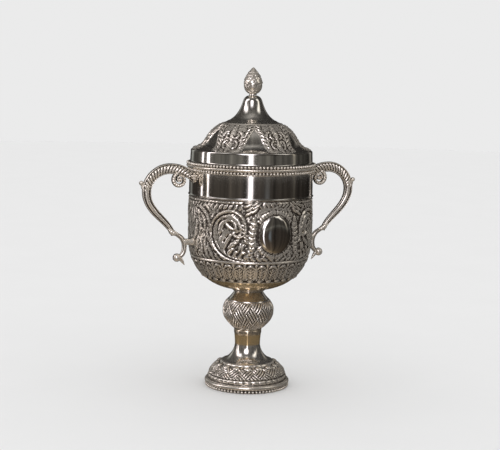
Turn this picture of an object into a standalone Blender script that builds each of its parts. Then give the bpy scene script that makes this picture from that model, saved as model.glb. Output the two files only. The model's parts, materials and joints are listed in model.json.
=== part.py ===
"""A covered cup in silver plate: a two-handled prize cup on a hollow foot, with a domed lid.

The cup stands on Z = 0 with its axis on Z. The handles lie along X, and an oval cartouche faces -Y, with
another at the back. Sizes are in metres, and turned profiles are lists of (radius, height) points from the
bottom up.
"""

from math import atan2, cos, isclose, pi, radians, sin, sqrt

import bmesh
import bpy
from mathutils import Matrix, Vector

# Clearance between neighbouring pieces
GAP = 0.0003

# Foot: a flat ring, a beaded wire, a rounded flange, a chased dome and a trumpet stem
FOOT_HEIGHT = 0.0527
FOOT_RADIUS = 0.0406
FOOT_RING = 0.0024
FOOT_WALL = 0.0012
FOOT_BEAD = 0.0025
FLANGE_OVER = 0.0023
FLANGE_ROLL = 0.0027
FLANGE_HEIGHT = 0.0079
FOOT_DOME_IN = 0.0014
FOOT_DOME_TOP = 0.0252
FOOT_SHOULDER = 0.0268
FOOT_STEP = 0.0015
STEM_RADIUS = 0.0128
FOOT_LEAVES = 14
FOOT_LEAF_RISE = 0.0009

# Knop: a hollow swelling on a collar, with a lattice of raised diamonds
KNOP_HEIGHT = 0.0436
KNOP_RADIUS = 0.0251
KNOP_WALL = 0.0012
KNOP_NECK = 0.0143
KNOP_MIDDLE = 0.0234
KNOP_GROOVE = 0.0010
COLLAR_OVER = 0.0010
COLLAR_HEIGHT = 0.0042
COLLAR_BEVEL = 0.0006
DIAMONDS = 11
DIAMOND_PITCH = 0.0060
DIAMOND_RISE = 0.0009

# Bowl: a round bottom with a band of upright leaves, a chased frieze and a plain band under the rim
BOWL_HEIGHT = 0.1234
BOWL_RADIUS = 0.0615
BOWL_WALL = 0.0012
SEAT_OVER = 0.0027
SEAT_HEIGHT = 0.0025
BELLY_HEIGHT = 0.0506
LEAVES = 32
LEAF_FOOT = 0.0141
LEAF_TOP = 0.0346
LEAF_RISE = 0.0013
PLAIN_BAND = 0.0268
BAND_LINE = 0.0009
BAND_LINE_RISE = 0.0005
RIM_BEAD = 0.0016

# Oval cartouche: its middle is this far under the rim
CARTOUCHE_DROP = 0.0598
CARTOUCHE_HIGH = 0.0364
CARTOUCHE_WIDE = 0.0340
CARTOUCHE_RISE = 0.0030
CARTOUCHE_BORDER = 0.0055
BORDER_LOBES = 14
BORDER_RISE = 0.0011

# Crooks: big scrolls beside each cartouche, smaller ones beside each handle, placed from the line they flank
CROOK_HALF = 0.0238
CROOK_AWAY = 0.0450
CROOK_DROP = 0.0600
CROOK_WIDTH = 0.0036
CROOK_RISE = 0.0015
SIDE_CROOK_HALF = 0.0235
SIDE_CROOK_AWAY = 0.0190
SIDE_CROOK_DROP = 0.0560
SIDE_CROOK_WIDTH = 0.0030

# Lid: a beaded flange over the rim, an upright band, a dome of raised petals and a spire
LID_HEIGHT = 0.0710
LID_WALL = 0.0012
LID_OVERHANG = 0.0029
LID_FLANGE = 0.0071
LID_BEAD = 0.0014
LID_BEAD_OVER = 0.0004
LID_BAND_IN = 0.0007
LID_BAND_TOP = 0.0175
LID_BAND_TAPER = 0.0004
LID_BAND_STEP = 0.0013
LID_CURVE_IN = 0.0142
LID_CURVE_TOP = 0.0260
LID_SHOULDER_RADIUS = 0.0278
LID_SHOULDER = 0.0443
SPIRE_RADIUS = 0.0096
SPIRE_TOP = 0.0654
SPIRE_CAP_OVER = 0.0006
BEZEL_DEPTH = 0.0070
BEZEL_CLEARANCE = 0.0006
PETALS = 6
PETAL_RISE = 0.0009
PETAL_MEET = 0.0036
PETAL_EDGE = radians(1.2)
PETAL_TURN = radians(9.4)

# Finial: a cast bud on a short neck
FINIAL_HEIGHT = 0.0273
FINIAL_RADIUS = 0.0092
FINIAL_NECK = 0.0038
SCALES = 6
SCALE_PITCH = 0.0039
SCALE_RISE = 0.0008
FINIAL_TIP = 0.0008

# Handles: cast scrolls, whose shapes are shares of their own height, hung under the rim
HANDLE_HEIGHT = 0.1006
HANDLE_OVER_RIM = 0.0053
HANDLE_WIDTH = 0.0105
HANDLE_THICKNESS = 0.0065

# Where each piece starts, from the ground up
KNOP_FOOT = FOOT_HEIGHT + GAP
BOWL_FOOT = KNOP_FOOT + KNOP_HEIGHT + GAP
RIM = BOWL_FOOT + BOWL_HEIGHT
LID_FOOT = RIM + GAP
FINIAL_FOOT = LID_FOOT + LID_HEIGHT + GAP
HANDLE_FOOT = RIM + HANDLE_OVER_RIM - HANDLE_HEIGHT

# Radii that follow the neighbour below or above
FOOT_DOME_RADIUS = FOOT_RADIUS - FOOT_DOME_IN
COLLAR_RADIUS = STEM_RADIUS + COLLAR_OVER
SEAT_RADIUS = KNOP_NECK + SEAT_OVER
LID_RADIUS = BOWL_RADIUS + LID_OVERHANG
LID_BAND_RADIUS = BOWL_RADIUS - LID_BAND_IN
LID_CURVE_RADIUS = LID_BAND_RADIUS - LID_CURVE_IN

# How far a cutter runs past the face it goes through
PAST = 0.005

# Columns of each turned solid: its raised pattern needs two for each copy, and six for each petal
FOOT_COLUMNS = 2 * FOOT_LEAVES
KNOP_COLUMNS = 2 * DIAMONDS
BOWL_COLUMNS = 2 * LEAVES
PETAL_COLUMNS = 6
LID_COLUMNS = PETAL_COLUMNS * PETALS
FINIAL_COLUMNS = 2 * SCALES
BOWL_CAVITY_COLUMNS = 32
LID_CAVITY_COLUMNS = 18

POLISHED = (0.78, 0.77, 0.74)
CHASED = (0.66, 0.64, 0.60)
CAST = (0.72, 0.70, 0.66)


def on_bezier(curve, share):
    """The point at a share of a cubic curve's run"""
    rest = 1 - share
    weights = (rest**3, 3 * rest**2 * share, 3 * rest * share**2, share**3)
    return tuple(sum(w * p[axis] for w, p in zip(weights, curve)) for axis in (0, 1))


def bezier(curve, steps):
    """Points along a cubic curve after its first, in even steps"""
    return [on_bezier(curve, (k + 1) / steps) for k in range(steps)]


def at_height(curve, height):
    """The point where a rising cubic curve reaches a height"""
    low, high = 0.0, 1.0
    for _ in range(40):
        middle = (low + high) / 2
        if on_bezier(curve, middle)[1] < height:
            low = middle
        else:
            high = middle
    return on_bezier(curve, high)


def curve_between(start, end, leaving, arriving):
    """A cubic curve whose two handles are shares of the way across and up from its start to its end"""
    (x0, y0), (x1, y1) = start, end
    handles = [(x0 + across * (x1 - x0), y0 + up * (y1 - y0)) for across, up in (leaving, arriving)]
    return (start, *handles, end)


def same(height, row):
    """Whether a vertex lies on a row of a profile"""
    return isclose(height, row, abs_tol=1e-5)


def inside(profile, wall):
    """A rising profile moved square to itself, towards the axis, by a wall's thickness"""
    moved = []
    for k, (radius, height) in enumerate(profile):
        before = Vector(profile[max(k - 1, 0)])
        after = Vector(profile[min(k + 1, len(profile) - 1)])
        along = (after - before).normalized()
        moved.append((max(0.0, radius - wall * along.y), height + wall * along.x))
    return moved


def turned(profile, columns):
    """A profile that starts and ends on the axis, turned once round Z into a closed solid"""
    bm = bmesh.new()
    line = [bm.verts.new((radius, 0, height)) for radius, height in profile]
    edges = [bm.edges.new(pair) for pair in zip(line, line[1:])]
    geometry = line + edges
    about = {"cent": (0, 0, 0), "axis": (0, 0, 1), "angle": 2 * pi}
    bmesh.ops.spin(bm, geom=geometry, steps=columns, use_merge=True, **about)
    bmesh.ops.remove_doubles(bm, verts=bm.verts[:], dist=1e-6)
    bmesh.ops.recalc_face_normals(bm, faces=bm.faces[:])
    return bm


def raised(bm, rise):
    """Moves each vertex along its normal by rise(angle, height)"""
    bm.normal_update()
    moves = []
    for vert in bm.verts:
        x, y, z = vert.co
        moves.append((vert, vert.normal * rise(atan2(y, x), z)))
    for vert, move in moves:
        vert.co += move


def solid(bm):
    """An object that holds one closed solid, faces out, for joining or cutting"""
    bmesh.ops.recalc_face_normals(bm, faces=bm.faces[:])
    if bm.calc_volume(signed=True) < 0:
        bmesh.ops.reverse_faces(bm, faces=bm.faces[:])
    mesh = bpy.data.meshes.new("solid")
    bm.to_mesh(mesh)
    bm.free()
    thing = bpy.data.objects.new("solid", mesh)
    bpy.context.scene.collection.objects.link(thing)
    return thing


def combined(body, joined=(), cut=()):
    """The mesh of a body with solids joined to it, then others cut from it"""
    for operation, tools in (("UNION", joined), ("DIFFERENCE", cut)):
        for tool in tools:
            step = body.modifiers.new(operation, "BOOLEAN")
            step.operation = operation
            step.solver = "EXACT"
            step.object = tool
    mesh = bpy.data.meshes.new_from_object(body.evaluated_get(bpy.context.evaluated_depsgraph_get()))
    for used in (body, *joined, *cut):
        bpy.data.objects.remove(used)
    return mesh


def piece(name, mesh, material):
    """A named sub-part with its own finish, shaded smooth except at its sharp edges"""
    mesh.name = name
    mesh.shade_smooth()
    mesh.set_sharp_from_angle(angle=radians(40))
    mesh.materials.clear()
    mesh.materials.append(material)
    thing = bpy.data.objects.new(name, mesh)
    bpy.context.scene.collection.objects.link(thing)
    return thing


def silver(name, colour, roughness):
    """A silver finish"""
    material = bpy.data.materials.new(name)
    material.use_nodes = True
    shader = material.node_tree.nodes["Principled BSDF"]
    shader.inputs["Base Color"].default_value = (*colour, 1)
    shader.inputs["Metallic"].default_value = 1.0
    shader.inputs["Roughness"].default_value = roughness
    return material


def spread(values, count):
    """Values spaced evenly along a run of count points, filled in straight lines"""
    filled = []
    for k in range(count):
        place = k / (count - 1) * (len(values) - 1)
        left = min(int(place), len(values) - 2)
        filled.append(values[left] + (values[left + 1] - values[left]) * (place - left))
    return filled


def trace(points, steps):
    """A path through cubic curves laid end to end, whose points come as first, then three for each curve"""
    path = [points[0]]
    for k in range(0, len(points) - 1, 3):
        path += bezier(points[k : k + 4], steps)
    return path


def grown(bm, face, first):
    """A new face extruded from one, which stays only where it closes the start"""
    made = bmesh.ops.extrude_face_region(bm, geom=[face])["geom"]
    if not first:
        bmesh.ops.delete(bm, geom=[face], context="FACES_ONLY")
    return next(item for item in made if isinstance(item, bmesh.types.BMFace))


def swept(path, widths, rises, section):
    """A section of (across, up) shares carried along a path in the XY plane, closed at both ends"""
    frames = []
    for k, (x, y) in enumerate(path):
        before = Vector(path[max(k - 1, 0)])
        after = Vector(path[min(k + 1, len(path) - 1)])
        along = (after - before).normalized()
        across = Vector((-along.y, along.x)) * widths[k]
        rows = ((across.x, 0, along.x, x), (across.y, 0, along.y, y), (0, rises[k], 0, 0), (0, 0, 0, 1))
        frames.append(Matrix(rows))
    bm = bmesh.new()
    end = bm.faces.new([bm.verts.new(frames[0] @ Vector((u, v, 0))) for u, v in section])
    for here, there in zip(frames, frames[1:]):
        end = grown(bm, end, here is frames[0])
        bmesh.ops.transform(bm, matrix=there @ here.inverted(), verts=end.verts[:])
    return bm


def cavity_cutter(profile, columns):
    """A turned cutter of few sides, whose flats and corners lie equally far off the true circle"""
    even = sqrt(1 / cos(pi / columns))
    return solid(turned([(radius * even, height) for radius, height in profile], columns))


# Foot


def foot_curves():
    """The dome and the trumpet of the foot"""
    base = (FOOT_DOME_RADIUS, FLANGE_HEIGHT)
    dome = curve_between(base, (FOOT_SHOULDER, FOOT_DOME_TOP), (-0.03, 0.53), (0.42, 0.96))
    step = (FOOT_SHOULDER - FOOT_STEP, FOOT_DOME_TOP + FOOT_STEP)
    trumpet = curve_between(step, (STEM_RADIUS, FOOT_HEIGHT), (0.65, 0.145), (1, 0.4))
    return dome, trumpet


def make_foot(finish):
    """The hollow foot and stem, with broad leaves raised on its dome"""
    dome, trumpet = foot_curves()
    roll = Vector((FOOT_RADIUS + FLANGE_OVER - FLANGE_ROLL, FLANGE_HEIGHT - 1.1 * FLANGE_ROLL))
    turns = (radians(-40), radians(10), radians(60))
    flange = [(roll.x + FLANGE_ROLL * cos(turn), roll.y + FLANGE_ROLL * sin(turn)) for turn in turns]
    profile = [(0, 0), (FOOT_RADIUS, 0), (FOOT_RADIUS + 0.2 * FOOT_BEAD, 0.6 * FOOT_BEAD)]
    profile.append((FOOT_RADIUS, FOOT_BEAD))
    profile += [*flange, dome[0], *bezier(dome, 4), trumpet[0], *bezier(trumpet, 4), (0, FOOT_HEIGHT)]
    body = turned(profile, FOOT_COLUMNS)
    rows = [height for _, height in bezier(dome, 4)[:-1]]

    def leaves(angle, height):
        """A ridge and a valley for each leaf"""
        on_dome = any(same(height, row) for row in rows)
        return FOOT_LEAF_RISE * (0.5 - 0.5 * cos(FOOT_LEAVES * angle)) if on_dome else 0

    raised(body, leaves)
    hollow = inside([dome[0], *bezier(dome, 3), *bezier(trumpet, 4)], FOOT_WALL)
    mouth = FOOT_RADIUS - FOOT_RING
    cavity = [(0, -PAST), (mouth, -PAST), (mouth, 0.6 * FLANGE_HEIGHT), *hollow]
    cavity += [(STEM_RADIUS - FOOT_WALL, FOOT_HEIGHT + PAST), (0, FOOT_HEIGHT + PAST)]
    piece("foot", combined(solid(body), cut=[cavity_cutter(cavity, FOOT_COLUMNS // 2)]), finish)


# Knop


def make_knop(finish):
    """The hollow knop between stem and bowl"""
    top = KNOP_FOOT + KNOP_HEIGHT
    start = KNOP_FOOT + COLLAR_HEIGHT + KNOP_GROOVE
    widest = KNOP_FOOT + KNOP_MIDDLE
    lower = curve_between((KNOP_NECK, start), (KNOP_RADIUS, widest), (0.22, 0.23), (1, 0.5))
    upper = curve_between((KNOP_RADIUS, widest), (KNOP_NECK, top), (0, 0.5), (0.81, 0.7))
    rows = [widest + k * DIAMOND_PITCH for k in (-2, -1, 0, 1)]
    under = COLLAR_RADIUS - COLLAR_BEVEL
    profile = [(0, KNOP_FOOT), (under, KNOP_FOOT), (COLLAR_RADIUS, KNOP_FOOT + COLLAR_HEIGHT)]
    profile += [lower[0], at_height(lower, rows[0] - DIAMOND_PITCH)]
    profile += [at_height(lower if height < widest else upper, height) for height in rows]
    profile += [on_bezier(upper, 0.7), upper[-1], (0, top)]
    body = turned(profile, KNOP_COLUMNS)

    def diamonds(angle, height):
        """Raised points in every other place of the grid"""
        if not any(same(height, row) for row in rows):
            return 0
        along = cos(pi * (height - widest) / DIAMOND_PITCH)
        return DIAMOND_RISE * (0.5 + 0.5 * cos(DIAMONDS * angle) * along)

    raised(body, diamonds)
    hollow = inside([lower[0], *bezier(lower, 2), *bezier(upper, 2)], KNOP_WALL)
    bore = under - KNOP_WALL
    cavity = [(0, KNOP_FOOT - PAST), (bore, KNOP_FOOT - PAST), (bore, KNOP_FOOT + COLLAR_HEIGHT), *hollow]
    cavity += [(KNOP_NECK - KNOP_WALL, top + PAST), (0, top + PAST)]
    piece("knop", combined(solid(body), cut=[cavity_cutter(cavity, KNOP_COLUMNS // 2)]), finish)


# Bowl


def belly():
    """The curve of the bowl's round bottom, from the seat to the upright wall"""
    start = BOWL_FOOT + SEAT_HEIGHT
    return curve_between((SEAT_RADIUS, start), (BOWL_RADIUS, start + BELLY_HEIGHT), (0.56, 0.04), (1, 0.42))


def leaf_rows():
    """The heights of the leaf band's rows and the share of the leaves' rise at each"""
    tall = LEAF_TOP - LEAF_FOOT
    shares = ((0, 0), (0.36, 1), (0.95, 1.1), (1, 0))
    return [(BOWL_FOOT + LEAF_FOOT + place * tall, rise) for place, rise in shares]


def bowl_profile(grow=0.0):
    """The bowl's outline, made larger all round by grow"""
    curve = belly()
    line = RIM - PLAIN_BAND
    profile = [(SEAT_RADIUS, BOWL_FOOT), curve[0], on_bezier(curve, 0.25)]
    profile += [at_height(curve, height) for height, _ in leaf_rows()]
    profile += [at_height(curve, (leaf_rows()[-1][0] + curve[-1][1]) / 2), curve[-1]]
    profile += [
        (BOWL_RADIUS, line - BAND_LINE),
        (BOWL_RADIUS + BAND_LINE_RISE, line),
        (BOWL_RADIUS, line + BAND_LINE),
        (BOWL_RADIUS, RIM - 1.9 * RIM_BEAD),
        (BOWL_RADIUS + 1.2 * RIM_BEAD, RIM - 1.2 * RIM_BEAD),
        (BOWL_RADIUS + 0.9 * RIM_BEAD, RIM),
    ]
    return [(radius + grow, height) for radius, height in profile]


def bowl_blank(grow=0.0):
    """The bowl as one plain turned block"""
    profile = bowl_profile(grow)
    return turned([(0, profile[0][1]), *profile, (0, profile[-1][1])], BOWL_COLUMNS)


def wall_radius(height):
    """The radius of the bowl's outline at a height"""
    profile = bowl_profile()
    for (r0, z0), (r1, z1) in zip(profile, profile[1:]):
        if z0 <= height <= z1:
            return r0 + (r1 - r0) * (height - z0) / (z1 - z0)
    return BOWL_RADIUS


def wrapped(bm, facing, height, flip=1):
    """Lays a flat solid, X across and Y up, on the bowl's wall, centred on an angle and a height"""
    for vert in bm.verts:
        across, up, out = vert.co
        angle = facing + flip * across / BOWL_RADIUS
        radius = wall_radius(height + up) + out
        vert.co = (radius * cos(angle), radius * sin(angle), height + up)
    return solid(bm)


RIDGE = ((-0.5, -0.6), (-0.22, 1), (0.22, 1), (0.5, -0.6))
LEAF = ((-0.5, -0.6), (0, 1), (0.5, -0.6))


def cartouche(facing):
    """A smooth domed oval in a border of short lobes"""
    columns = 2 * BORDER_LOBES
    bm = bmesh.new()
    bmesh.ops.create_circle(bm, cap_ends=True, segments=columns, radius=1)
    face = bm.faces[:][0]
    wide, high = CARTOUCHE_WIDE / 2, CARTOUCHE_HIGH / 2
    rings = (
        (CARTOUCHE_BORDER, -0.6 * BORDER_RISE),
        (CARTOUCHE_BORDER * 0.6, BORDER_RISE),
        (0.0, 0.3 * BORDER_RISE),
        (-0.2 * wide, 0.75 * CARTOUCHE_RISE),
        (-0.6 * wide, CARTOUCHE_RISE),
    )

    def shaped(verts, turns, border, rise):
        """Places one ring of the oval, with every other point of the border drawn in"""
        for turn, vert in zip(turns, verts):
            lobe = border * (1.12 if cos(BORDER_LOBES * turn) > 0 else 0.75) if border > 0 else border
            vert.co = ((wide + lobe) * cos(turn), (high + lobe) * sin(turn), rise)

    turns = [atan2(vert.co.y, vert.co.x) for vert in face.verts]
    shaped(face.verts, turns, *rings[0])
    for here, there in zip(rings, rings[1:]):
        base = max(here[0], 0)
        face = grown(bm, face, here is rings[0])
        turns = [atan2(vert.co.y / (high + base), vert.co.x / (wide + base)) for vert in face.verts]
        shaped(face.verts, turns, *there)
    return wrapped(bm, facing, RIM - CARTOUCHE_DROP)


def crook(facing, flip):
    """A tall scroll that rises beside the cartouche, arches over towards it and curls in"""
    shape = (
        (0.53, -0.98), (-0.17, -0.92), (-0.71, -0.50), (-0.74, -0.07), (-0.76, 0.42), (-0.42, 1.0),
        (-0.05, 1.0), (0.34, 1.0), (0.69, 0.71), (0.69, 0.34), (0.69, 0.0), (0.40, -0.06), (0.39, 0.19),
    )
    path = trace([(x * CROOK_HALF - CROOK_AWAY, y * CROOK_HALF) for x, y in shape], 3)
    widths = spread([share * CROOK_WIDTH for share in (0.5, 1, 1.1, 1, 0.7)], len(path))
    rises = spread([share * CROOK_RISE for share in (0.6, 1, 1, 1, 1.2)], len(path))
    return wrapped(swept(path, widths, rises, RIDGE), facing, RIM - CROOK_DROP, flip)


def crook_leaf(facing, flip):
    """The long acanthus leaf inside a crook"""
    shape = ((0.24, -0.64), (-0.16, -0.62), (-0.44, 0.0), (-0.04, 0.50))
    path = trace([(x * CROOK_HALF - CROOK_AWAY, y * CROOK_HALF) for x, y in shape], 4)
    widths = spread([share * CROOK_WIDTH for share in (0.8, 2.0, 2.1, 1.4, 0.5)], len(path))
    return wrapped(swept(path, widths, [CROOK_RISE] * len(path), LEAF), facing, RIM - CROOK_DROP, flip)


def tuft(facing, flip):
    """The leafy crest between a crook's arch and the cartouche"""
    shape = ((1.28, 1.01), (1.09, 1.06), (0.88, 1.19), (0.62, 1.26))
    path = trace([(x * CROOK_HALF - CROOK_AWAY, y * CROOK_HALF) for x, y in shape], 4)
    widths = spread([share * CROOK_WIDTH for share in (0.8, 1.8, 1.7, 0.5)], len(path))
    return wrapped(swept(path, widths, [CROOK_RISE] * len(path), LEAF), facing, RIM - CROOK_DROP, flip)


def side_crook(facing, flip):
    """A smaller scroll that rises beside a handle and curls in above it"""
    shape = (
        (0.70, -0.98), (0.42, -0.77), (0.25, -0.34), (0.27, 0.10), (0.27, 0.66), (-0.08, 0.98),
        (-0.42, 0.98), (-0.72, 0.98), (-0.74, 0.55), (-0.46, 0.55),
    )
    path = trace([(x * SIDE_CROOK_HALF + SIDE_CROOK_AWAY, y * SIDE_CROOK_HALF) for x, y in shape], 3)
    widths = spread([share * SIDE_CROOK_WIDTH for share in (0.5, 1, 1, 0.7)], len(path))
    rises = [0.85 * CROOK_RISE] * len(path)
    return wrapped(swept(path, widths, rises, RIDGE), facing, RIM - SIDE_CROOK_DROP, flip)


def make_bowl(finish):
    """The hollow bowl with its raised leaves, cartouches and scrolls"""
    body = bowl_blank()
    rises = leaf_rows()

    def leaves(angle, height):
        """Upright leaves, one ridge and one valley each"""
        share = sum(share for row, share in rises if same(height, row))
        return share * LEAF_RISE * (0.5 - 0.5 * cos(LEAVES * angle))

    raised(body, leaves)
    relief = []
    for facing in (radians(-90), radians(90)):
        relief.append(cartouche(facing))
        for flip in (1, -1):
            relief += [crook(facing, flip), crook_leaf(facing, flip), tuft(facing, flip)]
    for facing in (0, pi):
        relief += [side_crook(facing, flip) for flip in (1, -1)]
    curve = belly()
    hollow = inside([curve[0], *bezier(curve, 4)], BOWL_WALL)
    floor = hollow[0][1]
    cavity = [(0, floor), *hollow, (BOWL_RADIUS - BOWL_WALL, RIM + PAST), (0, RIM + PAST)]
    piece("bowl", combined(solid(body), relief, [cavity_cutter(cavity, BOWL_CAVITY_COLUMNS)]), finish)


# Lid


def lid_curves():
    """The lid's hollow shoulder, its dome and its spire"""
    band = (LID_BAND_RADIUS - LID_BAND_STEP, LID_FOOT + LID_BAND_TOP)
    neck = (LID_CURVE_RADIUS, LID_FOOT + LID_CURVE_TOP)
    shoulder = (LID_SHOULDER_RADIUS, LID_FOOT + LID_SHOULDER)
    tip = (SPIRE_RADIUS, LID_FOOT + SPIRE_TOP)
    hollow = curve_between(band, neck, (0.45, 0.25), (0.78, 0.44))
    dome = curve_between(neck, shoulder, (0.17, 0.33), (0.43, 0.72))
    spire = curve_between(shoulder, tip, (0.62, 0.18), (0.85, 0.57))
    return hollow, dome, spire


def petal_half(radius):
    """Half the angle of a raised petal, which widens towards the top until petals meet"""
    outer = LID_BAND_RADIUS - LID_BAND_STEP
    apex = LID_CURVE_RADIUS - PETAL_MEET
    share = min(1.0, max(0.0, (outer - radius) / (outer - apex)))
    return (0.38 + 0.56 * share) * pi / PETALS


def petalled(bm, rows):
    """Raises the petals, draws in their sides along their rows and turns the whole to its place"""
    period = 2 * pi / PETALS
    half = PETAL_COLUMNS // 2

    def column(angle):
        """Which column of its petal a vertex is in, from the middle of one plain point to the next"""
        return round((angle % period) / period * PETAL_COLUMNS) % PETAL_COLUMNS

    def petals(angle, height):
        """Petals stand over the plain points between them"""
        on_petal = any(same(height, row) for row in rows) and abs(column(angle) - half) < 2
        return PETAL_RISE if on_petal else 0

    raised(bm, petals)
    for vert in bm.verts:
        radius = Vector(vert.co.xy).length
        angle = atan2(vert.co.y, vert.co.x)
        place = column(angle)
        if place and rows[0] - PETAL_RISE < vert.co.z < rows[-1] + PETAL_RISE:
            edge = period / 2 - petal_half(radius)
            places = (0, edge - PETAL_EDGE, edge, period / 2)
            moved = places[place] if place <= half else period - places[PETAL_COLUMNS - place]
            angle += moved - place * period / PETAL_COLUMNS
        angle += PETAL_TURN
        vert.co = (radius * cos(angle), radius * sin(angle), vert.co.z)


def make_lid(finish):
    """The hollow lid with its bezel and raised petals"""
    hollow, dome, spire = lid_curves()
    bezel = BOWL_RADIUS - BOWL_WALL - BEZEL_CLEARANCE
    mouth = LID_FOOT - BEZEL_DEPTH
    beads = LID_RADIUS + LID_BEAD_OVER
    flange_top = LID_FOOT + LID_FLANGE
    taper = LID_BAND_RADIUS - LID_BAND_TAPER
    band_end = LID_FOOT + LID_BAND_TOP - LID_BAND_STEP
    top = LID_FOOT + LID_HEIGHT
    cap = FINIAL_NECK + SPIRE_CAP_OVER
    profile = [(0, mouth), (bezel, mouth), (bezel, LID_FOOT)]
    profile += [(beads - LID_BEAD, LID_FOOT), (beads, LID_FOOT + LID_BEAD)]
    profile += [(LID_RADIUS, flange_top), (LID_BAND_RADIUS, flange_top + LID_BAND_TAPER), (taper, band_end)]
    petals = [hollow[0], *bezier(hollow, 3), *bezier(dome, 3)[:-1]]
    profile += [*petals, dome[-1], *bezier(spire, 3)]
    profile += [((SPIRE_RADIUS + cap) / 2, top - FINIAL_TIP), (cap, top), (0, top)]
    body = turned(profile, LID_COLUMNS)
    petalled(body, [height for _, height in petals])
    inner = inside([hollow[0], *bezier(hollow, 3), *bezier(dome, 2), *bezier(spire, 3)], LID_WALL)
    bore = bezel - LID_WALL
    cavity = [(0, mouth - PAST), (bore, mouth - PAST), (bore, LID_FOOT + LID_WALL)]
    cavity += [(taper - LID_WALL, LID_FOOT + 2 * LID_WALL), (taper - LID_WALL, band_end - LID_BAND_TAPER)]
    cavity += [*inner[1:], (0, inner[-1][1])]
    piece("lid", combined(solid(body), cut=[cavity_cutter(cavity, LID_CAVITY_COLUMNS)]), finish)


# Finial


def make_finial(finish):
    """The cast bud, with a neck, a calyx and rows of scales"""
    top = FINIAL_FOOT + FINIAL_HEIGHT
    widest = FINIAL_FOOT + 0.40 * FINIAL_HEIGHT
    lower = curve_between((FINIAL_NECK, FINIAL_FOOT), (FINIAL_RADIUS, widest), (0.6, 0.25), (1, 0.5))
    tip = (FINIAL_TIP, top - FINIAL_TIP / 4)
    upper = curve_between((FINIAL_RADIUS, widest), tip, (0, 0.38), (0.55, 0.75))
    rows = [widest + k * SCALE_PITCH for k in range(4)]
    profile = [(0, FINIAL_FOOT), lower[0], on_bezier(lower, 0.3), on_bezier(lower, 0.65)]
    profile += [*[at_height(upper, height) for height in rows], upper[-1], (0, top)]
    body = turned(profile, FINIAL_COLUMNS)

    def scales(angle, height):
        """Scales in rows, each row half a scale on from the last"""
        if not any(same(height, row) for row in rows):
            return 0
        return SCALE_RISE * cos(SCALES * angle) * cos(pi * (height - widest) / SCALE_PITCH)

    raised(body, scales)
    piece("finial", combined(solid(body)), finish)


# Handles


RAIL = 0.34
BAR = ((0.5, 0), (RAIL, 0.5), (0, RAIL), (-RAIL, 0.5), (-0.5, 0), (-RAIL, -0.5), (0, -RAIL), (RAIL, -0.5))
SIX = ((0.5, 0), (0.25, 0.5), (-0.25, 0.5), (-0.5, 0), (-0.25, -0.5), (0.25, -0.5))


def handle_at(points):
    """Places on the handle's plane from shares of its height, out from the wall and up from its lowest tip"""
    return [(BOWL_RADIUS + out * HANDLE_HEIGHT, HANDLE_FOOT + up * HANDLE_HEIGHT) for out, up in points]


def handle_bar(points, steps, widths, thicknesses, section=SIX):
    """One swept stretch of the handle, stood upright along X, whose sizes are shares of the handle's own"""
    path = trace(handle_at(points), steps)
    wide = [share * HANDLE_WIDTH for share in spread(widths, len(path))]
    thick = [share * HANDLE_THICKNESS for share in spread(thicknesses, len(path))]
    bm = swept(path, wide, thick, section)
    bmesh.ops.rotate(bm, verts=bm.verts[:], cent=(0, 0, 0), matrix=Matrix.Rotation(radians(90), 3, "X"))
    return solid(bm)


def straight(start, end):
    """A straight stretch as one curve"""
    return curve_between(start, end, (1 / 3, 1 / 3), (2 / 3, 2 / 3))


def handle_arch():
    """The main scroll, from the rim over the top, down and in to the elbow"""
    points = (
        (-0.030, 0.850), (0.060, 0.905), (0.150, 0.948), (0.242, 0.948), (0.360, 0.948), (0.478, 0.855),
        (0.478, 0.726), (0.478, 0.636), (0.434, 0.572), (0.363, 0.500), (0.286, 0.425), (0.212, 0.358),
        (0.200, 0.298),
    )
    return handle_bar(points, 4, (0.8, 1, 1, 0.86, 0.67, 0.42), (1, 1, 1, 0.9, 0.8, 0.62), BAR)


def handle_loop():
    """The small reversed scroll under the elbow"""
    points = (
        (0.212, 0.318), (0.138, 0.300), (0.084, 0.258), (0.084, 0.184), (0.084, 0.129), (0.104, 0.088),
        (0.158, 0.078),
    )
    return handle_bar(points, 3, (0.36, 0.46, 0.42), (0.6, 0.7, 0.62))


def handle_volute():
    """The leaf that curls back under the arch, next to the bowl"""
    turns = [radians(70 - 55 * k) for k in range(7)]
    radii = spread([0.066, 0.054, 0.030], len(turns))
    path = handle_at([(0.140 + r * cos(t), 0.832 + r * sin(t)) for t, r in zip(turns, radii)])
    widths = spread([0.34 * HANDLE_WIDTH, 0.36 * HANDLE_WIDTH, 0.30 * HANDLE_WIDTH], len(path))
    bm = swept(path, widths, [0.75 * HANDLE_THICKNESS] * len(path), SIX)
    bmesh.ops.rotate(bm, verts=bm.verts[:], cent=(0, 0, 0), matrix=Matrix.Rotation(radians(90), 3, "X"))
    return solid(bm)


def handle_ball():
    """The boss that ends the small scroll"""
    bm = bmesh.new()
    bmesh.ops.create_uvsphere(bm, u_segments=8, v_segments=4, radius=0.040 * HANDLE_HEIGHT)
    (x, z), = handle_at([(0.163, 0.077)])
    bmesh.ops.translate(bm, verts=bm.verts[:], vec=(x, 0, z))
    return solid(bm)


def handle_mesh():
    """The whole cast handle, its two ends cut to the bowl's wall with a small gap"""
    spur = handle_bar(straight((0.470, 0.805), (0.560, 0.832)), 1, (0.75, 0.4, 0.06), (0.8, 0.5, 0.15))
    tip = handle_bar(straight((0.140, 0.090), (0.079, 0.0)), 1, (0.42, 0.36, 0.05), (0.6, 0.5, 0.15))
    stub = handle_bar(straight((-0.150, 0.229), (0.092, 0.229)), 1, (0.66, 0.72), (0.72, 0.72))
    joined = [handle_loop(), handle_volute(), handle_ball(), spur, tip, stub]
    return combined(handle_arch(), joined, [solid(bowl_blank(GAP))])


def make_handles(finish):
    """Two castings from one mould, half a turn apart"""
    mesh = handle_mesh()
    piece("handle_right", mesh, finish)
    left = piece("handle_left", mesh, finish)
    left.rotation_euler.z = pi


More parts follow.
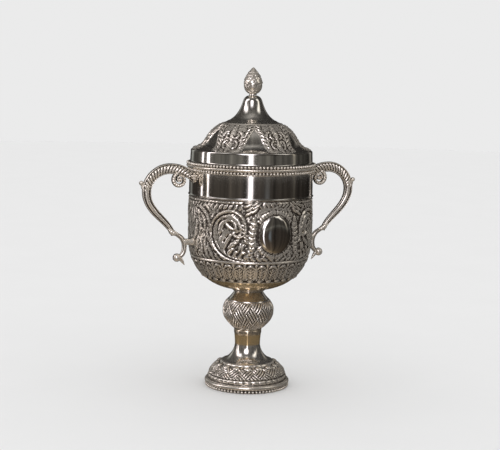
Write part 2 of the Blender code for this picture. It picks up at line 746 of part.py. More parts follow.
def main():
    for thing in list(bpy.data.objects):
        bpy.data.objects.remove(thing)
    polished = silver("polished silver", POLISHED, 0.12)
    chased = silver("chased silver", CHASED, 0.28)
    cast = silver("cast silver", CAST, 0.22)
    make_foot(chased)
    make_knop(chased.copy())
    make_bowl(chased.copy())
    make_lid(polished)
    make_finial(cast.copy())
    make_handles(cast)


main()
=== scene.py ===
"""A covered cup in chased silver plate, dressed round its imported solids.

Every turned piece is an outline in millimetres, spun once round the cup's axis and then chased:
its skin is moved along the outline's normals by a relief drawn as strokes on the wall laid out
flat. The handles are bars swept along the same scrolls as the solids.
"""

import json
from math import cos, pi, radians, sin, sqrt, tan

import bmesh
import bpy
import numpy as np
from mathutils import Matrix, Vector, noise

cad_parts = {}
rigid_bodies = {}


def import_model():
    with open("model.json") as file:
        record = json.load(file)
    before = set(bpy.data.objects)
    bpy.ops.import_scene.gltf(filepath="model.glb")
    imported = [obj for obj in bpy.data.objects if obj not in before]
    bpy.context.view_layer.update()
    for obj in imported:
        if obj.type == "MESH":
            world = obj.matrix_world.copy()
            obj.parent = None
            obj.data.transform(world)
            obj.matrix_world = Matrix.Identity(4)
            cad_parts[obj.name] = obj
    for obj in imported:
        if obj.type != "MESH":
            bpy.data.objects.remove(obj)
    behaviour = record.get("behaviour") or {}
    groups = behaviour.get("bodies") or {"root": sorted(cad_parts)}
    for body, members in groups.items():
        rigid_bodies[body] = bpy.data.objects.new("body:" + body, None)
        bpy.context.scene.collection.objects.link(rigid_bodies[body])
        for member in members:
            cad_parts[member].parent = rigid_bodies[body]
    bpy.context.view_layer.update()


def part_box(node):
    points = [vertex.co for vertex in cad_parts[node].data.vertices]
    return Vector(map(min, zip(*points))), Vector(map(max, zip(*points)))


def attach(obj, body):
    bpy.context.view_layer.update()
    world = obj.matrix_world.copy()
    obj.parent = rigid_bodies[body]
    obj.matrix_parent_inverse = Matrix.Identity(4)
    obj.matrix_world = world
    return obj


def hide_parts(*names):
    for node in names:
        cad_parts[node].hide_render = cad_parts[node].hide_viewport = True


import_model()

bl_info = {
    "name": "Covered Cup",
    "version": (1, 0, 0),
    "blender": (4, 5, 0),
    "location": "View3D > Sidebar > Cup",
    "description": "Builds a chased silver covered cup with scroll handles, and a pale studio",
    "category": "Add Mesh",
}

MM = 0.001

# Levels of the solids, in millimetres
FOOT_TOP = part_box("foot")[1].z / MM
KNOP_LOW, KNOP_HIGH = (corner.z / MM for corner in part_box("knop"))
BOWL_LOW, RIM = (corner.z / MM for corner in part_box("bowl"))
BEZEL_LOW, LID_TOP = (corner.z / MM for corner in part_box("lid"))
FINIAL_LOW, FINIAL_HIGH = (corner.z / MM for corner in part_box("finial"))

# Sizes that several pieces share, in millimetres
BOWL_RADIUS = 61.5
LID_LOW = RIM + 0.3
WALL = 1.2

# Meshing: how far the rows beside a crisp corner stand apart, and sectors spun at a time
CRISP = 0.6
SECTORS = 8
CURVE_STEPS = 60

# Beads: how wide each is along its ring, so that a dark gap shows between two
BEAD_GAP = 0.94

# How much of the mirror each finish loses where it is chased
MATT = 0.145
BEAD_MATT = 0.26
CAST_MATT = 0.24


def counted(name, description, default):
    """A whole number on the panel"""
    return bpy.props.IntProperty(name=name, description=description, default=default)


def sized(name, description, default):
    """A length on the panel, in metres"""
    said = {"name": name, "description": description, "default": default}
    return bpy.props.FloatProperty(unit="LENGTH", precision=5, **said)


def coloured(name, description, default):
    """A colour on the panel"""
    said = {"name": name, "description": description, "default": default}
    return bpy.props.FloatVectorProperty(subtype="COLOR", **said)


class CupSizes(bpy.types.PropertyGroup):
    """Sizes of the beads and of the chasing"""

    rim_beads: counted("Rim beads", "Beads round the rim and the lid", 112)
    foot_beads: counted("Foot beads", "Beads round the foot", 72)
    bead_radius: sized("Bead radius", "Radius of one bead", 0.00138)
    leaves: counted("Leaves", "Upright leaves round the bowl's bottom", 32)
    foot_leaves: counted("Foot leaves", "Leaves round the foot's dome", 16)
    petals: counted("Petals", "Chased petals round the lid", 6)
    lattice: counted("Lattice", "Bundles of ribs each way round the knop", 12)
    frieze_rise: sized("Frieze rise", "How far the frieze stands from the wall", 0.0015)
    cartouche_rise: sized("Cartouche rise", "Height of the oval's dome", 0.0030)
    leaf_rise: sized("Leaf rise", "Height of the leaves, petals and ribs", 0.0011)
    matting: sized("Matting", "Depth of the punched ground", 0.00022)


class CupColours(bpy.types.PropertyGroup):
    """Colours of the silver and of the studio"""

    silver: coloured("Silver", "Polished silver", (0.87, 0.84, 0.785))
    chased: coloured("Chased silver", "Silver of the chased parts", (0.89, 0.825, 0.73))
    # The tarnish colour darkens recesses: partly real tarnish in the hollows of the chasing, partly
    # painted shade in recesses and in the gaps beside the beads
    tarnish_and_shade: coloured("Tarnish", "Darkened recesses", (0.082, 0.067, 0.054))
    # The warm colour is a painted reflection: the golden glow of a warm surface below, painted on the
    # undersides, stem and collar
    painted_reflection: coloured("Warm tarnish", "Golden tarnish in sheltered places", (0.68, 0.47, 0.20))
    floor: coloured("Floor", "Pale floor", (0.80, 0.80, 0.80))
    backdrop: coloured("Backdrop", "Pale backdrop", (0.83, 0.83, 0.83))


# Shapes of numbers


def held(values):
    """Values held from 0 to 1"""
    return np.clip(values, 0, 1)


def bell(off, wide):
    """A soft ridge, 1 in its middle"""
    return np.exp(-((off / wide) ** 2))


def bulge(*shares):
    """A round ridge or dome, 1 in its middle and 0 from a share of 1 outwards"""
    return np.sqrt(held(1 - sum(share**2 for share in shares)))


def strokes(phase):
    """Even rounded strokes, one to each whole number"""
    return np.abs(np.cos(pi * phase))


def folded(angle, count, start=0.0):
    """Angles laid over one another from the middle of each of count sectors to its side"""
    period = 2 * pi / count
    return np.abs((angle - start + period / 2) % period - period / 2)


# Curves and outlines


def on_bezier(curve, share):
    """The point at a share of a cubic curve's run"""
    rest = 1 - share
    weights = (rest**3, 3 * rest**2 * share, 3 * rest * share**2, share**3)
    return tuple(sum(w * p[axis] for w, p in zip(weights, curve)) for axis in (0, 1))


def trace(points, steps):
    """A path through cubic curves end to end, given as first, then three points for each curve"""
    path = [tuple(points[0])]
    for k in range(0, len(points) - 1, 3):
        path += [on_bezier(points[k : k + 4], (n + 1) / steps) for n in range(steps)]
    return path


def run_along(points):
    """How far along a path each of its points is"""
    return np.concatenate(([0], np.cumsum(np.hypot(*np.diff(points, axis=0).T))))


def evened(points, step):
    """Points about a step apart along a path, with both of its ends"""
    points = np.array(points, float)
    along = run_along(points)
    places = np.linspace(0, along[-1], max(2, round(along[-1] / step) + 1))
    if step > CRISP < along[-1] / 3:
        places = np.sort(np.append(places, (CRISP / 2, along[-1] - CRISP / 2)))
    return np.stack([np.interp(places, along, points[:, axis]) for axis in (0, 1)], 1)


class Outline:
    """A turned piece's outline: rows of radius and height in millimetres, each in a named zone"""

    def __init__(self):
        self.rows = []
        self.zones = []

    def add(self, zone, points, step):
        """Adds a run of points about a step apart, joined to the last run where they meet"""
        for row in evened(points, step):
            if self.rows and np.hypot(*(row - self.rows[-1])) < 1e-4:
                self.zones[-1] = zone
                continue
            self.rows.append(row)
            self.zones.append(zone)

    def curve(self, zone, control, step):
        """Adds a cubic curve"""
        self.add(zone, trace(control, CURVE_STEPS), step)

    def normals(self):
        """The outward normal of each row, where the outline runs up its outside"""
        along = np.gradient(np.array(self.rows), axis=0)
        along /= np.maximum(np.hypot(*along.T), 1e-9)[:, None]
        return np.stack((along[:, 1], -along[:, 0]), 1)


class Spots:
    """The points of one zone of a turned skin: angle, radius, level and way along the zone"""

    def __init__(self, line, zone, angle, row):
        inside = np.array(line.zones) == zone
        first, last = np.nonzero(inside)[0][[0, -1]]
        arcs = run_along(line.rows)
        arcs -= arcs[first]
        self.on = inside[row]
        row = row[self.on]
        self.angle = angle[self.on]
        self.radius, self.level = np.array(line.rows)[row].T
        self.arc = arcs[row]
        self.length = arcs[last]
        self.end = arcs[min(last + 1, len(arcs) - 1)]


# Strokes of the chasing: height across a stroke, from -1 to 1, and along it in millimetres


def rounded(x, along):
    """A plain round ridge"""
    return np.sqrt(1 - x**2)


def ribbed(x, along):
    """A double ridge with a groove down its middle"""
    return np.sqrt(1 - x**4) * (0.66 - 0.40 * np.cos(2 * pi * x))


def hollowed(x, along):
    """A broad leaf with a sunk middle and thin raised edges"""
    return np.sqrt(1 - x**6) * (0.42 + 0.50 * x**2)


def ribbon(x, along):
    """A band with a thin raised edge each side and a deep channel between"""
    return 1.1 * bell(np.abs(x) - 0.72, 0.22) - 0.30 * (np.abs(x) < 0.45)


def feathered(pitch, lean):
    """A leaf with a midrib and slanted strokes, cut into lobes along its edges"""

    def shape(x, along):
        wave = strokes(along / pitch + lean * np.abs(x))
        body = bulge(x / (0.80 + 0.20 * wave))
        return body * (0.40 + 0.60 * wave) + 0.18 * bell(x, 0.14)

    return shape


def scaled(pitch):
    """Crescent scales that lap over each other"""

    def shape(x, along):
        phase = (along / pitch + 0.45 * x**2) % 1
        return np.sqrt(1 - x**2) * (1.0 - 0.85 * phase**1.5)

    return shape


class Relief:
    """Heights on points laid out flat, across and up, in millimetres"""

    def __init__(self, across, up):
        self.across = across
        self.up = up
        self.height = np.zeros(len(across))

    def along(self, path, widths):
        """The points near a path: which, how far off as a share of half its width, how far along"""
        path = np.array(path, float)
        reach = max(widths) / 2
        (left, low), (right, high) = path.min(0) - reach, path.max(0) + reach
        beside = (self.across > left) & (self.across < right)
        near = np.nonzero(beside & (self.up > low) & (self.up < high))[0]
        point = np.stack((self.across[near], self.up[near]), 1)
        step = np.diff(path, axis=0)
        lengths = np.hypot(*step.T)
        away = point[:, None] - path[None, :-1]
        share = held((away * step).sum(2) / lengths**2)
        off = away - share[..., None] * step
        far = np.hypot(off[..., 0], off[..., 1])
        best = far.argmin(1) if len(near) else np.zeros(0, int)
        pick = (np.arange(len(near)), best)
        run = (np.cumsum(lengths) - lengths)[best] + share[pick] * lengths[best]
        side = np.sign(step[best, 0] * off[pick][:, 1] - step[best, 1] * off[pick][:, 0])
        width = np.interp(run / lengths.sum(), np.linspace(0, 1, len(widths)), widths)
        x = side * far[pick] / (width / 2)
        inside = np.abs(x) < 1
        return near[inside], x[inside], run[inside]

    def stroke(self, path, widths, rise, shape=rounded):
        """Raises a stroke wherever it stands higher than what is there"""
        near, x, run = self.along(path, widths)
        self.height[near] = np.maximum(self.height[near], rise * shape(x, run))

    def laid(self, path, widths, rise, shape=rounded):
        """Raises a stroke that clears what lies under it first, so that it lies on top"""
        near, x, run = self.along(path, widths)
        self.height[near] = rise * shape(x, run)

    def sunk(self, path, widths, depth):
        """Cuts a round-bottomed groove or pit"""
        near, x, _ = self.along(path, widths)
        self.height[near] -= depth * np.sqrt(1 - x**2)


# Meshes


def meshed(bm, name):
    """A mesh of a bmesh, which is freed"""
    mesh = bpy.data.meshes.new(name)
    bm.to_mesh(mesh)
    bm.free()
    return mesh


def points_of(mesh):
    """The x, y and z of a mesh's points, in metres"""
    flat = np.zeros(len(mesh.vertices) * 3)
    mesh.vertices.foreach_get("co", flat)
    return flat.reshape(-1, 3).T


def turned(name, line, columns, reliefs, looks, looped=False):
    """Spins an outline into a closed skin, then moves its zones out and notes their finish

    reliefs has a function of spots and sizes for each carved zone, which gives their heights, and
    looks says how chased a zone is and how much painted golden reflection it gets.
    """
    bm = bmesh.new()
    tag = bm.verts.layers.int.new("row")
    points = []
    for k, (radius, level) in enumerate(line.rows):
        vert = bm.verts.new((radius * MM, 0, level * MM))
        vert[tag] = k
        points.append(vert)
    edges = [bm.edges.new(pair) for pair in zip(points, points[1:])]
    if looped:
        edges.append(bm.edges.new((points[-1], points[0])))
    about = {"cent": (0, 0, 0), "axis": (0, 0, 1), "angle": 2 * pi / SECTORS}
    bmesh.ops.spin(bm, geom=points + edges, steps=columns // SECTORS, **about)
    repeated(bm, SECTORS)
    bmesh.ops.remove_doubles(bm, verts=bm.verts[:], dist=1e-6)
    outwards(bm)
    mesh = meshed(bm, name)
    x, y, _ = points_of(mesh)
    angle = np.arctan2(y, x)
    row = np.zeros(len(x), np.int32)
    mesh.attributes["row"].data.foreach_get("value", row)
    mesh.attributes.remove(mesh.attributes["row"])
    height = np.zeros(len(x))
    for zone, relief in reliefs.items():
        spots = Spots(line, zone, angle, row)
        height[spots.on] = relief(spots, bpy.context.scene.cup_sizes)
    radius, level = (np.array(line.rows)[row] + height[:, None] * line.normals()[row]).T
    place = np.stack((radius * np.cos(angle), radius * np.sin(angle), level), 1) * MM
    mesh.vertices.foreach_set("co", place.ravel())
    mesh.update()
    zones = np.array(line.zones)[row]
    marks = np.zeros((2, len(x)))
    for zone, look in looks.items():
        marks[:, zones == zone] = np.array(look)[:, None]
    # Gap zones are darkened further, a painted shade in the gaps beside the beads
    finish(mesh, height, *marks, zones == "gap")
    return finished(name, mesh)


def repeated(bm, count):
    """Copies all that a mesh has so far round the axis, to make count of it"""
    first = bm.verts[:] + bm.edges[:] + bm.faces[:]
    for k in range(1, count):
        copied = bmesh.ops.duplicate(bm, geom=first)["geom"]
        verts = [item for item in copied if isinstance(item, bmesh.types.BMVert)]
        turn = Matrix.Rotation(2 * pi * k / count, 3, "Z")
        bmesh.ops.rotate(bm, verts=verts, cent=(0, 0, 0), matrix=turn)


def outwards(bm):
    """Turns a closed mesh's faces out"""
    bmesh.ops.recalc_face_normals(bm, faces=bm.faces[:])
    if bm.calc_volume(signed=True) < 0:
        bmesh.ops.reverse_faces(bm, faces=bm.faces[:])


def softened(mesh, values, rounds):
    """Values spread out over a mesh's edges"""
    edges = np.zeros(len(mesh.edges) * 2, np.int32)
    mesh.edges.foreach_get("vertices", edges)
    start, end = edges.reshape(-1, 2).T
    ends, starts = np.concatenate((start, end)), np.concatenate((end, start))
    total = np.maximum(np.bincount(ends, minlength=len(values)), 1)
    for _ in range(rounds):
        values = 0.4 * values + 0.6 * np.bincount(ends, values[starts], len(values)) / total
    return values


def finish(mesh, height, chased, painted_reflection, gap=0):
    """Keeps on a mesh what its silver needs: how chased, how sunk (for tarnish and painted shade) and
    how much painted golden reflection each spot has
    """
    around = softened(mesh, height, 14)
    marks = {
        "chased": softened(mesh, chased, 4),
        # Spots lower than the skin round them are marked sunk and darkened: tarnish in the hollows and
        # painted shade
        "sunk": held(0.5 - (height - around) / 0.9 + 0.4 * gap),
        # The painted golden reflection: how much of the warm colour each spot is painted with
        "painted_reflection_share": softened(mesh, painted_reflection, 5),
    }
    for name, values in marks.items():
        layer = mesh.attributes.new(name, "FLOAT", "POINT")
        layer.data.foreach_set("value", values.astype(np.float32))


def polished(mesh, plain, chased):
    """Marks some of a mesh's points as polished, with how chased they still are"""
    for name, value in (("chased", chased), ("sunk", 0.5)):
        values = np.zeros(len(plain), np.float32)
        data = mesh.attributes[name].data
        data.foreach_get("value", values)
        values[plain] = value
        data.foreach_set("value", values)


def finished(name, mesh):
    """A smooth-shaded object of a mesh"""
    mesh.shade_smooth()
    piece = bpy.data.objects.new(name, mesh)
    bpy.context.scene.collection.objects.link(piece)
    return piece


def dressed(piece, material, slot, *nodes):
    """Gives a piece its silver and its place on the cup, and hides the solids that it stands for"""
    piece.data.materials.append(material)
    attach(piece, "root")
    if nodes:
        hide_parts(*nodes)


def beads(name, slot, count, ring, level, tall=0.9):
    """A ring of beads at a radius and a level, each tall as a share of its radius"""
    scene = bpy.context.scene
    radius = scene.cup_sizes.bead_radius / MM
    bm = bmesh.new()
    bmesh.ops.create_uvsphere(bm, u_segments=8, v_segments=6, radius=MM)
    bmesh.ops.scale(bm, verts=bm.verts[:], vec=(radius, BEAD_GAP * radius, tall * radius))
    bmesh.ops.translate(bm, verts=bm.verts[:], vec=(ring * MM, 0, level * MM))
    repeated(bm, count)
    mesh = meshed(bm, name)
    plain = np.zeros(len(mesh.vertices))
    finish(mesh, plain, plain + 1, plain)
    called = f"{slot} {name}".replace("_", " ")
    dressed(finished(name, mesh), silver_finish(called, scene.cup_colours, BEAD_MATT), slot)


def punched_ground(spots, up, size, sizes):
    """Punched ground: small even bumps that never repeat"""
    x, y = (turn(spots.angle) * spots.radius / size for turn in (np.cos, np.sin))
    bumps = np.array([noise.noise(place) for place in zip(x, y, up / size)])
    return 1.6 * sizes.matting / MM * bumps


RIBS = 4


def weave(turn, climb):
    """Bundles of ribs that cross, passing over and under, from 0 to 1"""
    one, other = turn + climb, turn - climb
    over = (np.floor(one) + np.floor(other)) % 2 == 0

    def bundle(phase, crossing):
        ribs = np.abs(np.sin(pi * RIBS * (phase % 1))) ** 1.1
        return ribs * (0.62 + 0.38 * np.sin(pi * (crossing % 1)))

    return np.where(over, bundle(one, other), bundle(other, one))


# A zone that is chased all over, with no painted golden reflection
CHASED = (1, 0)


# Foot


FOOT_COLUMNS = 448
FOOT_CELL = 14.5
WEAVE_LOW = 4.6


def foot_outline():
    """The foot: its ring, a seat for the beads, the flange, dome, step and trumpet, then inside"""
    line = Outline()
    inner = 12.8 - WALL
    line.add("gap", [(38.2, 0.0), (40.2, 0.0), (40.6, 2.6), (41.2, 2.9)], 0.6)
    turns = [radians(turn) for turn in range(-50, 101, 10)]
    line.add("flange", [(40.0 + 2.6 * cos(turn), 5.2 + 2.2 * sin(turn)) for turn in turns], 0.5)
    line.add("gap", [(39.7, 7.4), (39.2, 7.5), (39.1, 8.0)], 0.4)
    line.curve("dome", ((39.1, 8.0), (39.4, 15.6), (33.2, 22.2), (26.9, 23.8)), 0.5)
    line.add("step", [(26.9, 23.8), (26.4, 24.8), (25.8, 25.1), (25.2, 25.5)], 0.4)
    line.curve("trumpet", ((25.2, 25.5), (17.4, 28.9), (12.9, 35.5), (12.7, 42.4)), 1.0)
    line.curve("stem", ((12.7, 42.4), (12.7, 46.0), (13.1, 50.0), (13.4, FOOT_TOP)), 1.2)
    line.add("inside", [(13.2, FOOT_TOP), (inner, FOOT_TOP), (inner, 46.0)], 3)
    line.curve("inside", ((inner, 46.0), (11.6, 36.0), (16.4, 28.8), (24.0, 23.6)), 2.5)
    line.curve("inside", ((24.0, 23.6), (31.8, 21.8), (37.6, 15.0), (37.8, 7.6)), 2.5)
    line.add("inside", [(37.8, 7.6), (38.0, 1.0)], 2.5)
    return line


def foot_dome(spots, sizes):
    """Crossing bundles of ribs, with smooth scallops under them and leaf tips over them"""
    arc, left = spots.arc, spots.length - spots.arc
    off = folded(spots.angle, sizes.foot_leaves) * spots.radius
    turn = sizes.foot_leaves * spots.angle / (2 * pi)
    woven = weave(turn, (arc - WEAVE_LOW) / FOOT_CELL)
    woven *= held(np.minimum(arc - WEAVE_LOW, left - 3.6) / 0.7)
    scallop = bulge((arc - 2.3) / 1.9)
    scallop *= 0.3 + 0.7 * np.abs(np.cos(sizes.foot_leaves * spots.angle)) ** 0.6
    tip = 1.5 * bulge(off / 3.9, (left - 3.2) / 3.0)
    top = np.maximum.reduce([woven, scallop, tip])
    ground = 0.5 * punched_ground(spots, arc, 1.5, sizes)
    edges = held(np.minimum(arc, left + 0.4) / 0.9)
    return edges * (1.2 * sizes.leaf_rise / MM * top + ground - 0.5)


def foot_step(spots, sizes):
    """A row of leaf tips round the step"""
    tips = np.abs(np.cos(sizes.foot_leaves * spots.angle / 2)) ** 0.7
    return 0.75 * held(tips - 0.35) - 0.1


class CUP_OT_foot(bpy.types.Operator):
    """Spin and chase the foot and set the beads round it"""

    bl_idname = "cup.foot"
    bl_label = "Foot"

    def execute(self, context):
        sizes, colours = context.scene.cup_sizes, context.scene.cup_colours
        reliefs = {"dome": foot_dome, "step": foot_step}
        looks = dict.fromkeys(("dome", "step", "flange", "gap"), CHASED)
        # Each look is how chased a zone is, then how much painted golden reflection it gets: the stem
        # is painted all golden, as if mirroring a warm surface below
        looks |= {"trumpet": (0.3, 0.04), "stem": (0.15, 1)}
        foot = turned("foot_chased", foot_outline(), FOOT_COLUMNS, reliefs, looks, looped=True)
        dressed(foot, silver_finish("chased silver foot", colours), "chased_silver", "foot")
        level = sizes.bead_radius / MM
        beads("foot_beads", "chased_silver", sizes.foot_beads, 41.0, level, tall=1.0)
        return {"FINISHED"}


# Knop


KNOP_COLUMNS = 352
KNOP_RADIUS = 25.1
LATTICE_LEAN = radians(58)
KNOP_LINE = KNOP_HIGH - 8.6


def knop_outline():
    """The knop: a collar, a groove, the swelling and its plain neck, then back inside"""
    line = Outline()
    groove, top = KNOP_LOW + 4.2, KNOP_LOW + 5.2
    middle = KNOP_LOW + 23.4
    widest, inner = KNOP_RADIUS, KNOP_RADIUS - WALL
    line.add("collar", [(12.0, KNOP_LOW), (13.2, KNOP_LOW), (13.8, KNOP_LOW + 0.8),
                        (13.8, groove - 0.4)], 0.6)
    line.add("collar", [(13.8, groove - 0.4), (13.3, groove), (13.9, groove + 0.6),
                        (14.3, top)], 0.4)
    line.curve("lattice", ((14.3, top), (16.7, groove + 5.2), (widest, groove + 10.1),
                           (widest, middle)), 0.5)
    line.curve("lattice", ((widest, middle), (widest, middle + 10.1), (16.4, middle + 14.2),
                           (14.3, KNOP_HIGH)), 0.5)
    line.add("inside", [(13.1, KNOP_HIGH), (13.1, KNOP_HIGH - 4)], 2)
    line.curve("inside", ((13.1, KNOP_HIGH - 4), (14.6, KNOP_HIGH - 9), (inner, middle + 8),
                          (inner, middle)), 2.5)
    line.curve("inside", ((inner, middle), (inner, middle - 8), (15.6, groove + 6),
                          (12.6, groove + 2)), 2.5)
    line.add("inside", [(12.6, groove + 2), (12.0, KNOP_LOW + 1)], 2)
    line.zones = [
        "neck" if zone == "lattice" and not groove + 2.2 < level < KNOP_HIGH - 9.4 else zone
        for zone, (_, level) in zip(line.zones, line.rows)
    ]
    return line


def knop_line(spots, sizes):
    """A thin raised line over the lattice"""
    return 0.35 * bell(spots.level - KNOP_LINE, 0.45)


def knop_lattice(spots, sizes):
    """A lattice of crossing bundles of ribs, with the thin line over it"""
    cell = 2 * pi * KNOP_RADIUS / sizes.lattice * tan(LATTICE_LEAN)
    turn = sizes.lattice * spots.angle / (2 * pi)
    woven = weave(turn, (spots.level - KNOP_LOW) / cell)
    edges = held(np.minimum(spots.arc, spots.length - spots.arc))
    return edges * (1.2 * sizes.leaf_rise / MM * woven - 0.5) + knop_line(spots, sizes)


class CUP_OT_knop(bpy.types.Operator):
    """Spin the knop and chase its lattice"""

    bl_idname = "cup.knop"
    bl_label = "Knop"

    def execute(self, context):
        colours = context.scene.cup_colours
        reliefs = {"lattice": knop_lattice, "neck": knop_line}
        # The collar gets half of the painted golden reflection
        looks = {"lattice": CHASED, "collar": (0.1, 0.5), "neck": (0.2, 0)}
        knop = turned("knop_chased", knop_outline(), KNOP_COLUMNS, reliefs, looks, looped=True)
        dressed(knop, silver_finish("chased silver knop", colours), "chased_silver", "knop")
        return {"FINISHED"}


# Bowl


BOWL_COLUMNS = 440
LEAVES_LOW, LEAVES_HIGH = 111.0, 131.6
FRIEZE_LOW, FRIEZE_HIGH = 133.4, 192.2
BAND_LOW, BAND_HIGH = 195.4, 216.8
BELLY_TOP = 150.0
FRIEZE_DRAWN = 0.0015
CARTOUCHE_MIDDLE, CARTOUCHE_HIGH, CARTOUCHE_WIDE = 160.5, 18.2, 17.0

# Rings over the leaf band and under the plain band: level, half width and rise
RINGS = ((132.5, 0.75, 0.55), (193.7, 0.62, 0.85), (192.4, 0.5, -0.5))


def bowl_outline():
    """The bowl: its seat, round bottom, frieze, plain band and rim, then down inside"""
    line = Outline()
    wide, inner, floor = BOWL_RADIUS, BOWL_RADIUS - WALL, 100.6
    line.add("seat", [(0.0, BOWL_LOW), (15.8, BOWL_LOW), (16.9, BOWL_LOW + 0.5), (17.2, 98.6),
                      (17.0, 99.4)], 1.6)
    curve = trace(((17.0, 99.4), (41.9, 101.4), (wide, 120.7), (wide, BELLY_TOP)), 400)
    line.add("under", [p for p in curve if p[1] <= LEAVES_LOW], 1.5)
    line.add("leaves", [p for p in curve if LEAVES_LOW <= p[1] <= LEAVES_HIGH], 0.85)
    line.add("divider", [p for p in curve if LEAVES_HIGH <= p[1] <= FRIEZE_LOW], 0.45)
    line.add("frieze", [p for p in curve if FRIEZE_LOW <= p[1]] + [(wide, FRIEZE_HIGH)], 0.68)
    line.add("groove", [(wide, FRIEZE_HIGH), (wide, BAND_LOW)], 0.3)
    line.add("band", [(wide, BAND_LOW), (wide - 0.1, BAND_HIGH)], 4)
    line.add("rim", [(wide - 0.1, BAND_HIGH), (wide + 0.2, 216.9), (61.8, 217.4),
                     (61.5, 217.7)], 0.3)
    line.add("gap", [(61.5, 217.7), (61.4, 219.7), (62.2, 220.0)], 0.6)
    line.add("rim", [(62.2, 220.0), (62.2, RIM), (inner + 0.2, RIM), (inner, RIM - 0.3)], 0.6)
    line.add("inside", [(inner, RIM - 0.3), (inner, BELLY_TOP)], 9)
    line.curve("inside", ((inner, BELLY_TOP), (inner, 121.2), (41.5, 102.7), (16.8, floor)), 5)
    line.add("inside", [(16.8, floor), (0.0, floor)], 8)
    return line


def leaf_band(spots, sizes):
    """Upright leaves with round feet, veins and arched tips, and a dart between each two"""
    arc, share = spots.arc, spots.arc / spots.end
    off = folded(spots.angle, sizes.leaves) * spots.radius
    half = pi / sizes.leaves * spots.radius
    x = off / half
    foot = 1.15 * bulge(x / 0.62, (arc - 2.9) / 2.3)
    arch = 1.15 * bell(share - 0.90 + 0.20 * x**2, 0.055) * (0.65 + 0.35 * np.cos(pi * x))
    tip = 0.95 * bell(1 - x, 0.24) * bell(share - 0.93, 0.06)
    dart = 0.72 * bell(half - off, 0.55) * (share > 0.30) * (share < 0.86)
    veins = 0.44 * strokes(arc / 3.6 - 1.9 * x) * bulge((x - 0.34) / 0.30)
    edge, rib = 0.78 * bell(off - 0.74 * half, 0.55), 0.62 * bell(off, 0.45)
    middle = (share > 0.20) * held((0.84 - 0.20 * x**2 - share) / 0.05)
    blade = middle * np.maximum.reduce([veins, edge, rib])
    top = np.maximum.reduce([foot, arch, tip, dart, blade])
    fade = held(np.minimum(arc, spots.end - arc) / 0.8)
    ground = 0.5 * punched_ground(spots, arc, 1.5, sizes)
    return 1.25 * sizes.leaf_rise / MM * fade * (top - 0.42) + ground


def rings(spots, sizes):
    """The rings over the leaf band and under the plain band"""
    return sum(rise * bell(spots.level - middle, wide) for middle, wide, rise in RINGS)


def on_oval(across, up):
    """Places as shares of the cartouche's half width and half height"""
    return across / CARTOUCHE_WIDE, (up - CARTOUCHE_MIDDLE) / CARTOUCHE_HIGH


def on_wall(angle):
    """How far across the wall laid out flat an angle is from the nearest cartouche's middle"""
    return folded(angle, 2, pi / 2) * BOWL_RADIUS


def chased_frieze(spots, sizes):
    """The frieze, with its punched ground everywhere but on the ovals"""
    across, level = on_wall(spots.angle), spots.level
    raised = frieze(across, level, sizes)
    oval = np.hypot(*on_oval(across, level)) < 1.02
    ground = np.where(oval, 0, punched_ground(spots, level, 1.45, sizes))
    fade = held(np.minimum(level - FRIEZE_LOW, FRIEZE_HIGH + 0.6 - level) / 0.8)
    return sizes.frieze_rise / FRIEZE_DRAWN * fade * (raised + ground - 0.45)


def frieze(across, up, sizes):
    """Scrolls, leaves and cartouches laid out flat, from a cartouche's middle to a handle"""
    relief = Relief(across, up)
    for foliage in (ground_leaves, crook, cartouche_side, side_scroll):
        foliage(relief)
    cartouche(relief, sizes.cartouche_rise / MM)
    tuft(relief)
    for k in range(24):
        x = 2 + 4.02 * k
        if not 13 < x < 32:
            relief.stroke([(x, 190.6), (x + 2.4, 190.6)], (1.3, 1.3), 0.8)
    return relief.height


def cartouche(relief, rise):
    """A smooth domed oval in a border of petals, with crescent scales down its sides"""
    x, y = on_oval(relief.across, relief.up)
    out, turn = np.hypot(x, y), np.arctan2(y, x)
    away = (out - 1) * (CARTOUCHE_WIDE + CARTOUCHE_HIGH) / 2
    petal = 0.9 * np.sqrt(np.abs(np.cos(21 * turn)))
    border = (away > 0.9) & (away < 5.0 + 0.8 * np.cos(42 * turn)) & (np.abs(np.sin(turn)) > 0.55)
    shaped = 0.75 * (petal * bulge((away - 2.9) / 2.6) + 0.1)
    relief.height = np.where(border, np.maximum(relief.height, shaped), relief.height)
    side = ((22.0, 176), (20.5, 168), (24.5, 160), (23.6, 152), (23.0, 147), (25, 142), (29, 137))
    relief.laid(trace(side, 12), (4, 7.4, 8.2, 7.8, 7.0, 5.6, 3), 1.05, scaled(4.7))
    dome = rise * held(1 - out**3.4) ** 0.6 + 0.25
    dome = np.where(out < 0.985, dome, 0.9 * bell(out - 1.01, 0.02))
    relief.height = np.where(out < 1.045, dome, relief.height)


def ground_leaves(relief):
    """Small leaves and buds that fill the ground, with no scroll of their own"""
    for k in range(16):
        x = 1.5 + 6.1 * k
        relief.stroke([(x, 134.8), (x + 4.2, 138.0)], (1.2, 3.0, 1.4), 0.8, feathered(1.8, 0.6))
        relief.stroke([(x + 5.2, 137.4), (x + 2.8, 141.0)], (1.0, 2.0, 1.0), 0.7)
    for k in range(13):
        x = 33 + 5.1 * k
        relief.stroke([(x, 188.6), (x + 3.4, 184.6)], (1.2, 3.2, 1.6), 0.85, feathered(1.9, 0.6))
    for k in range(9):
        x, z = 71 + 3.1 * k, 146 + 5.5 * (k * 5 % 7)
        relief.stroke([(x, z), (x + 2.6, z + 2.2)], (1.0, 2.8, 1.2), 0.7, feathered(1.8, 0.6))
        relief.stroke([(x + 1.8, z - 2.6), (x - 1.4, z - 0.4)], (1.0, 2.4, 1.0), 0.65)


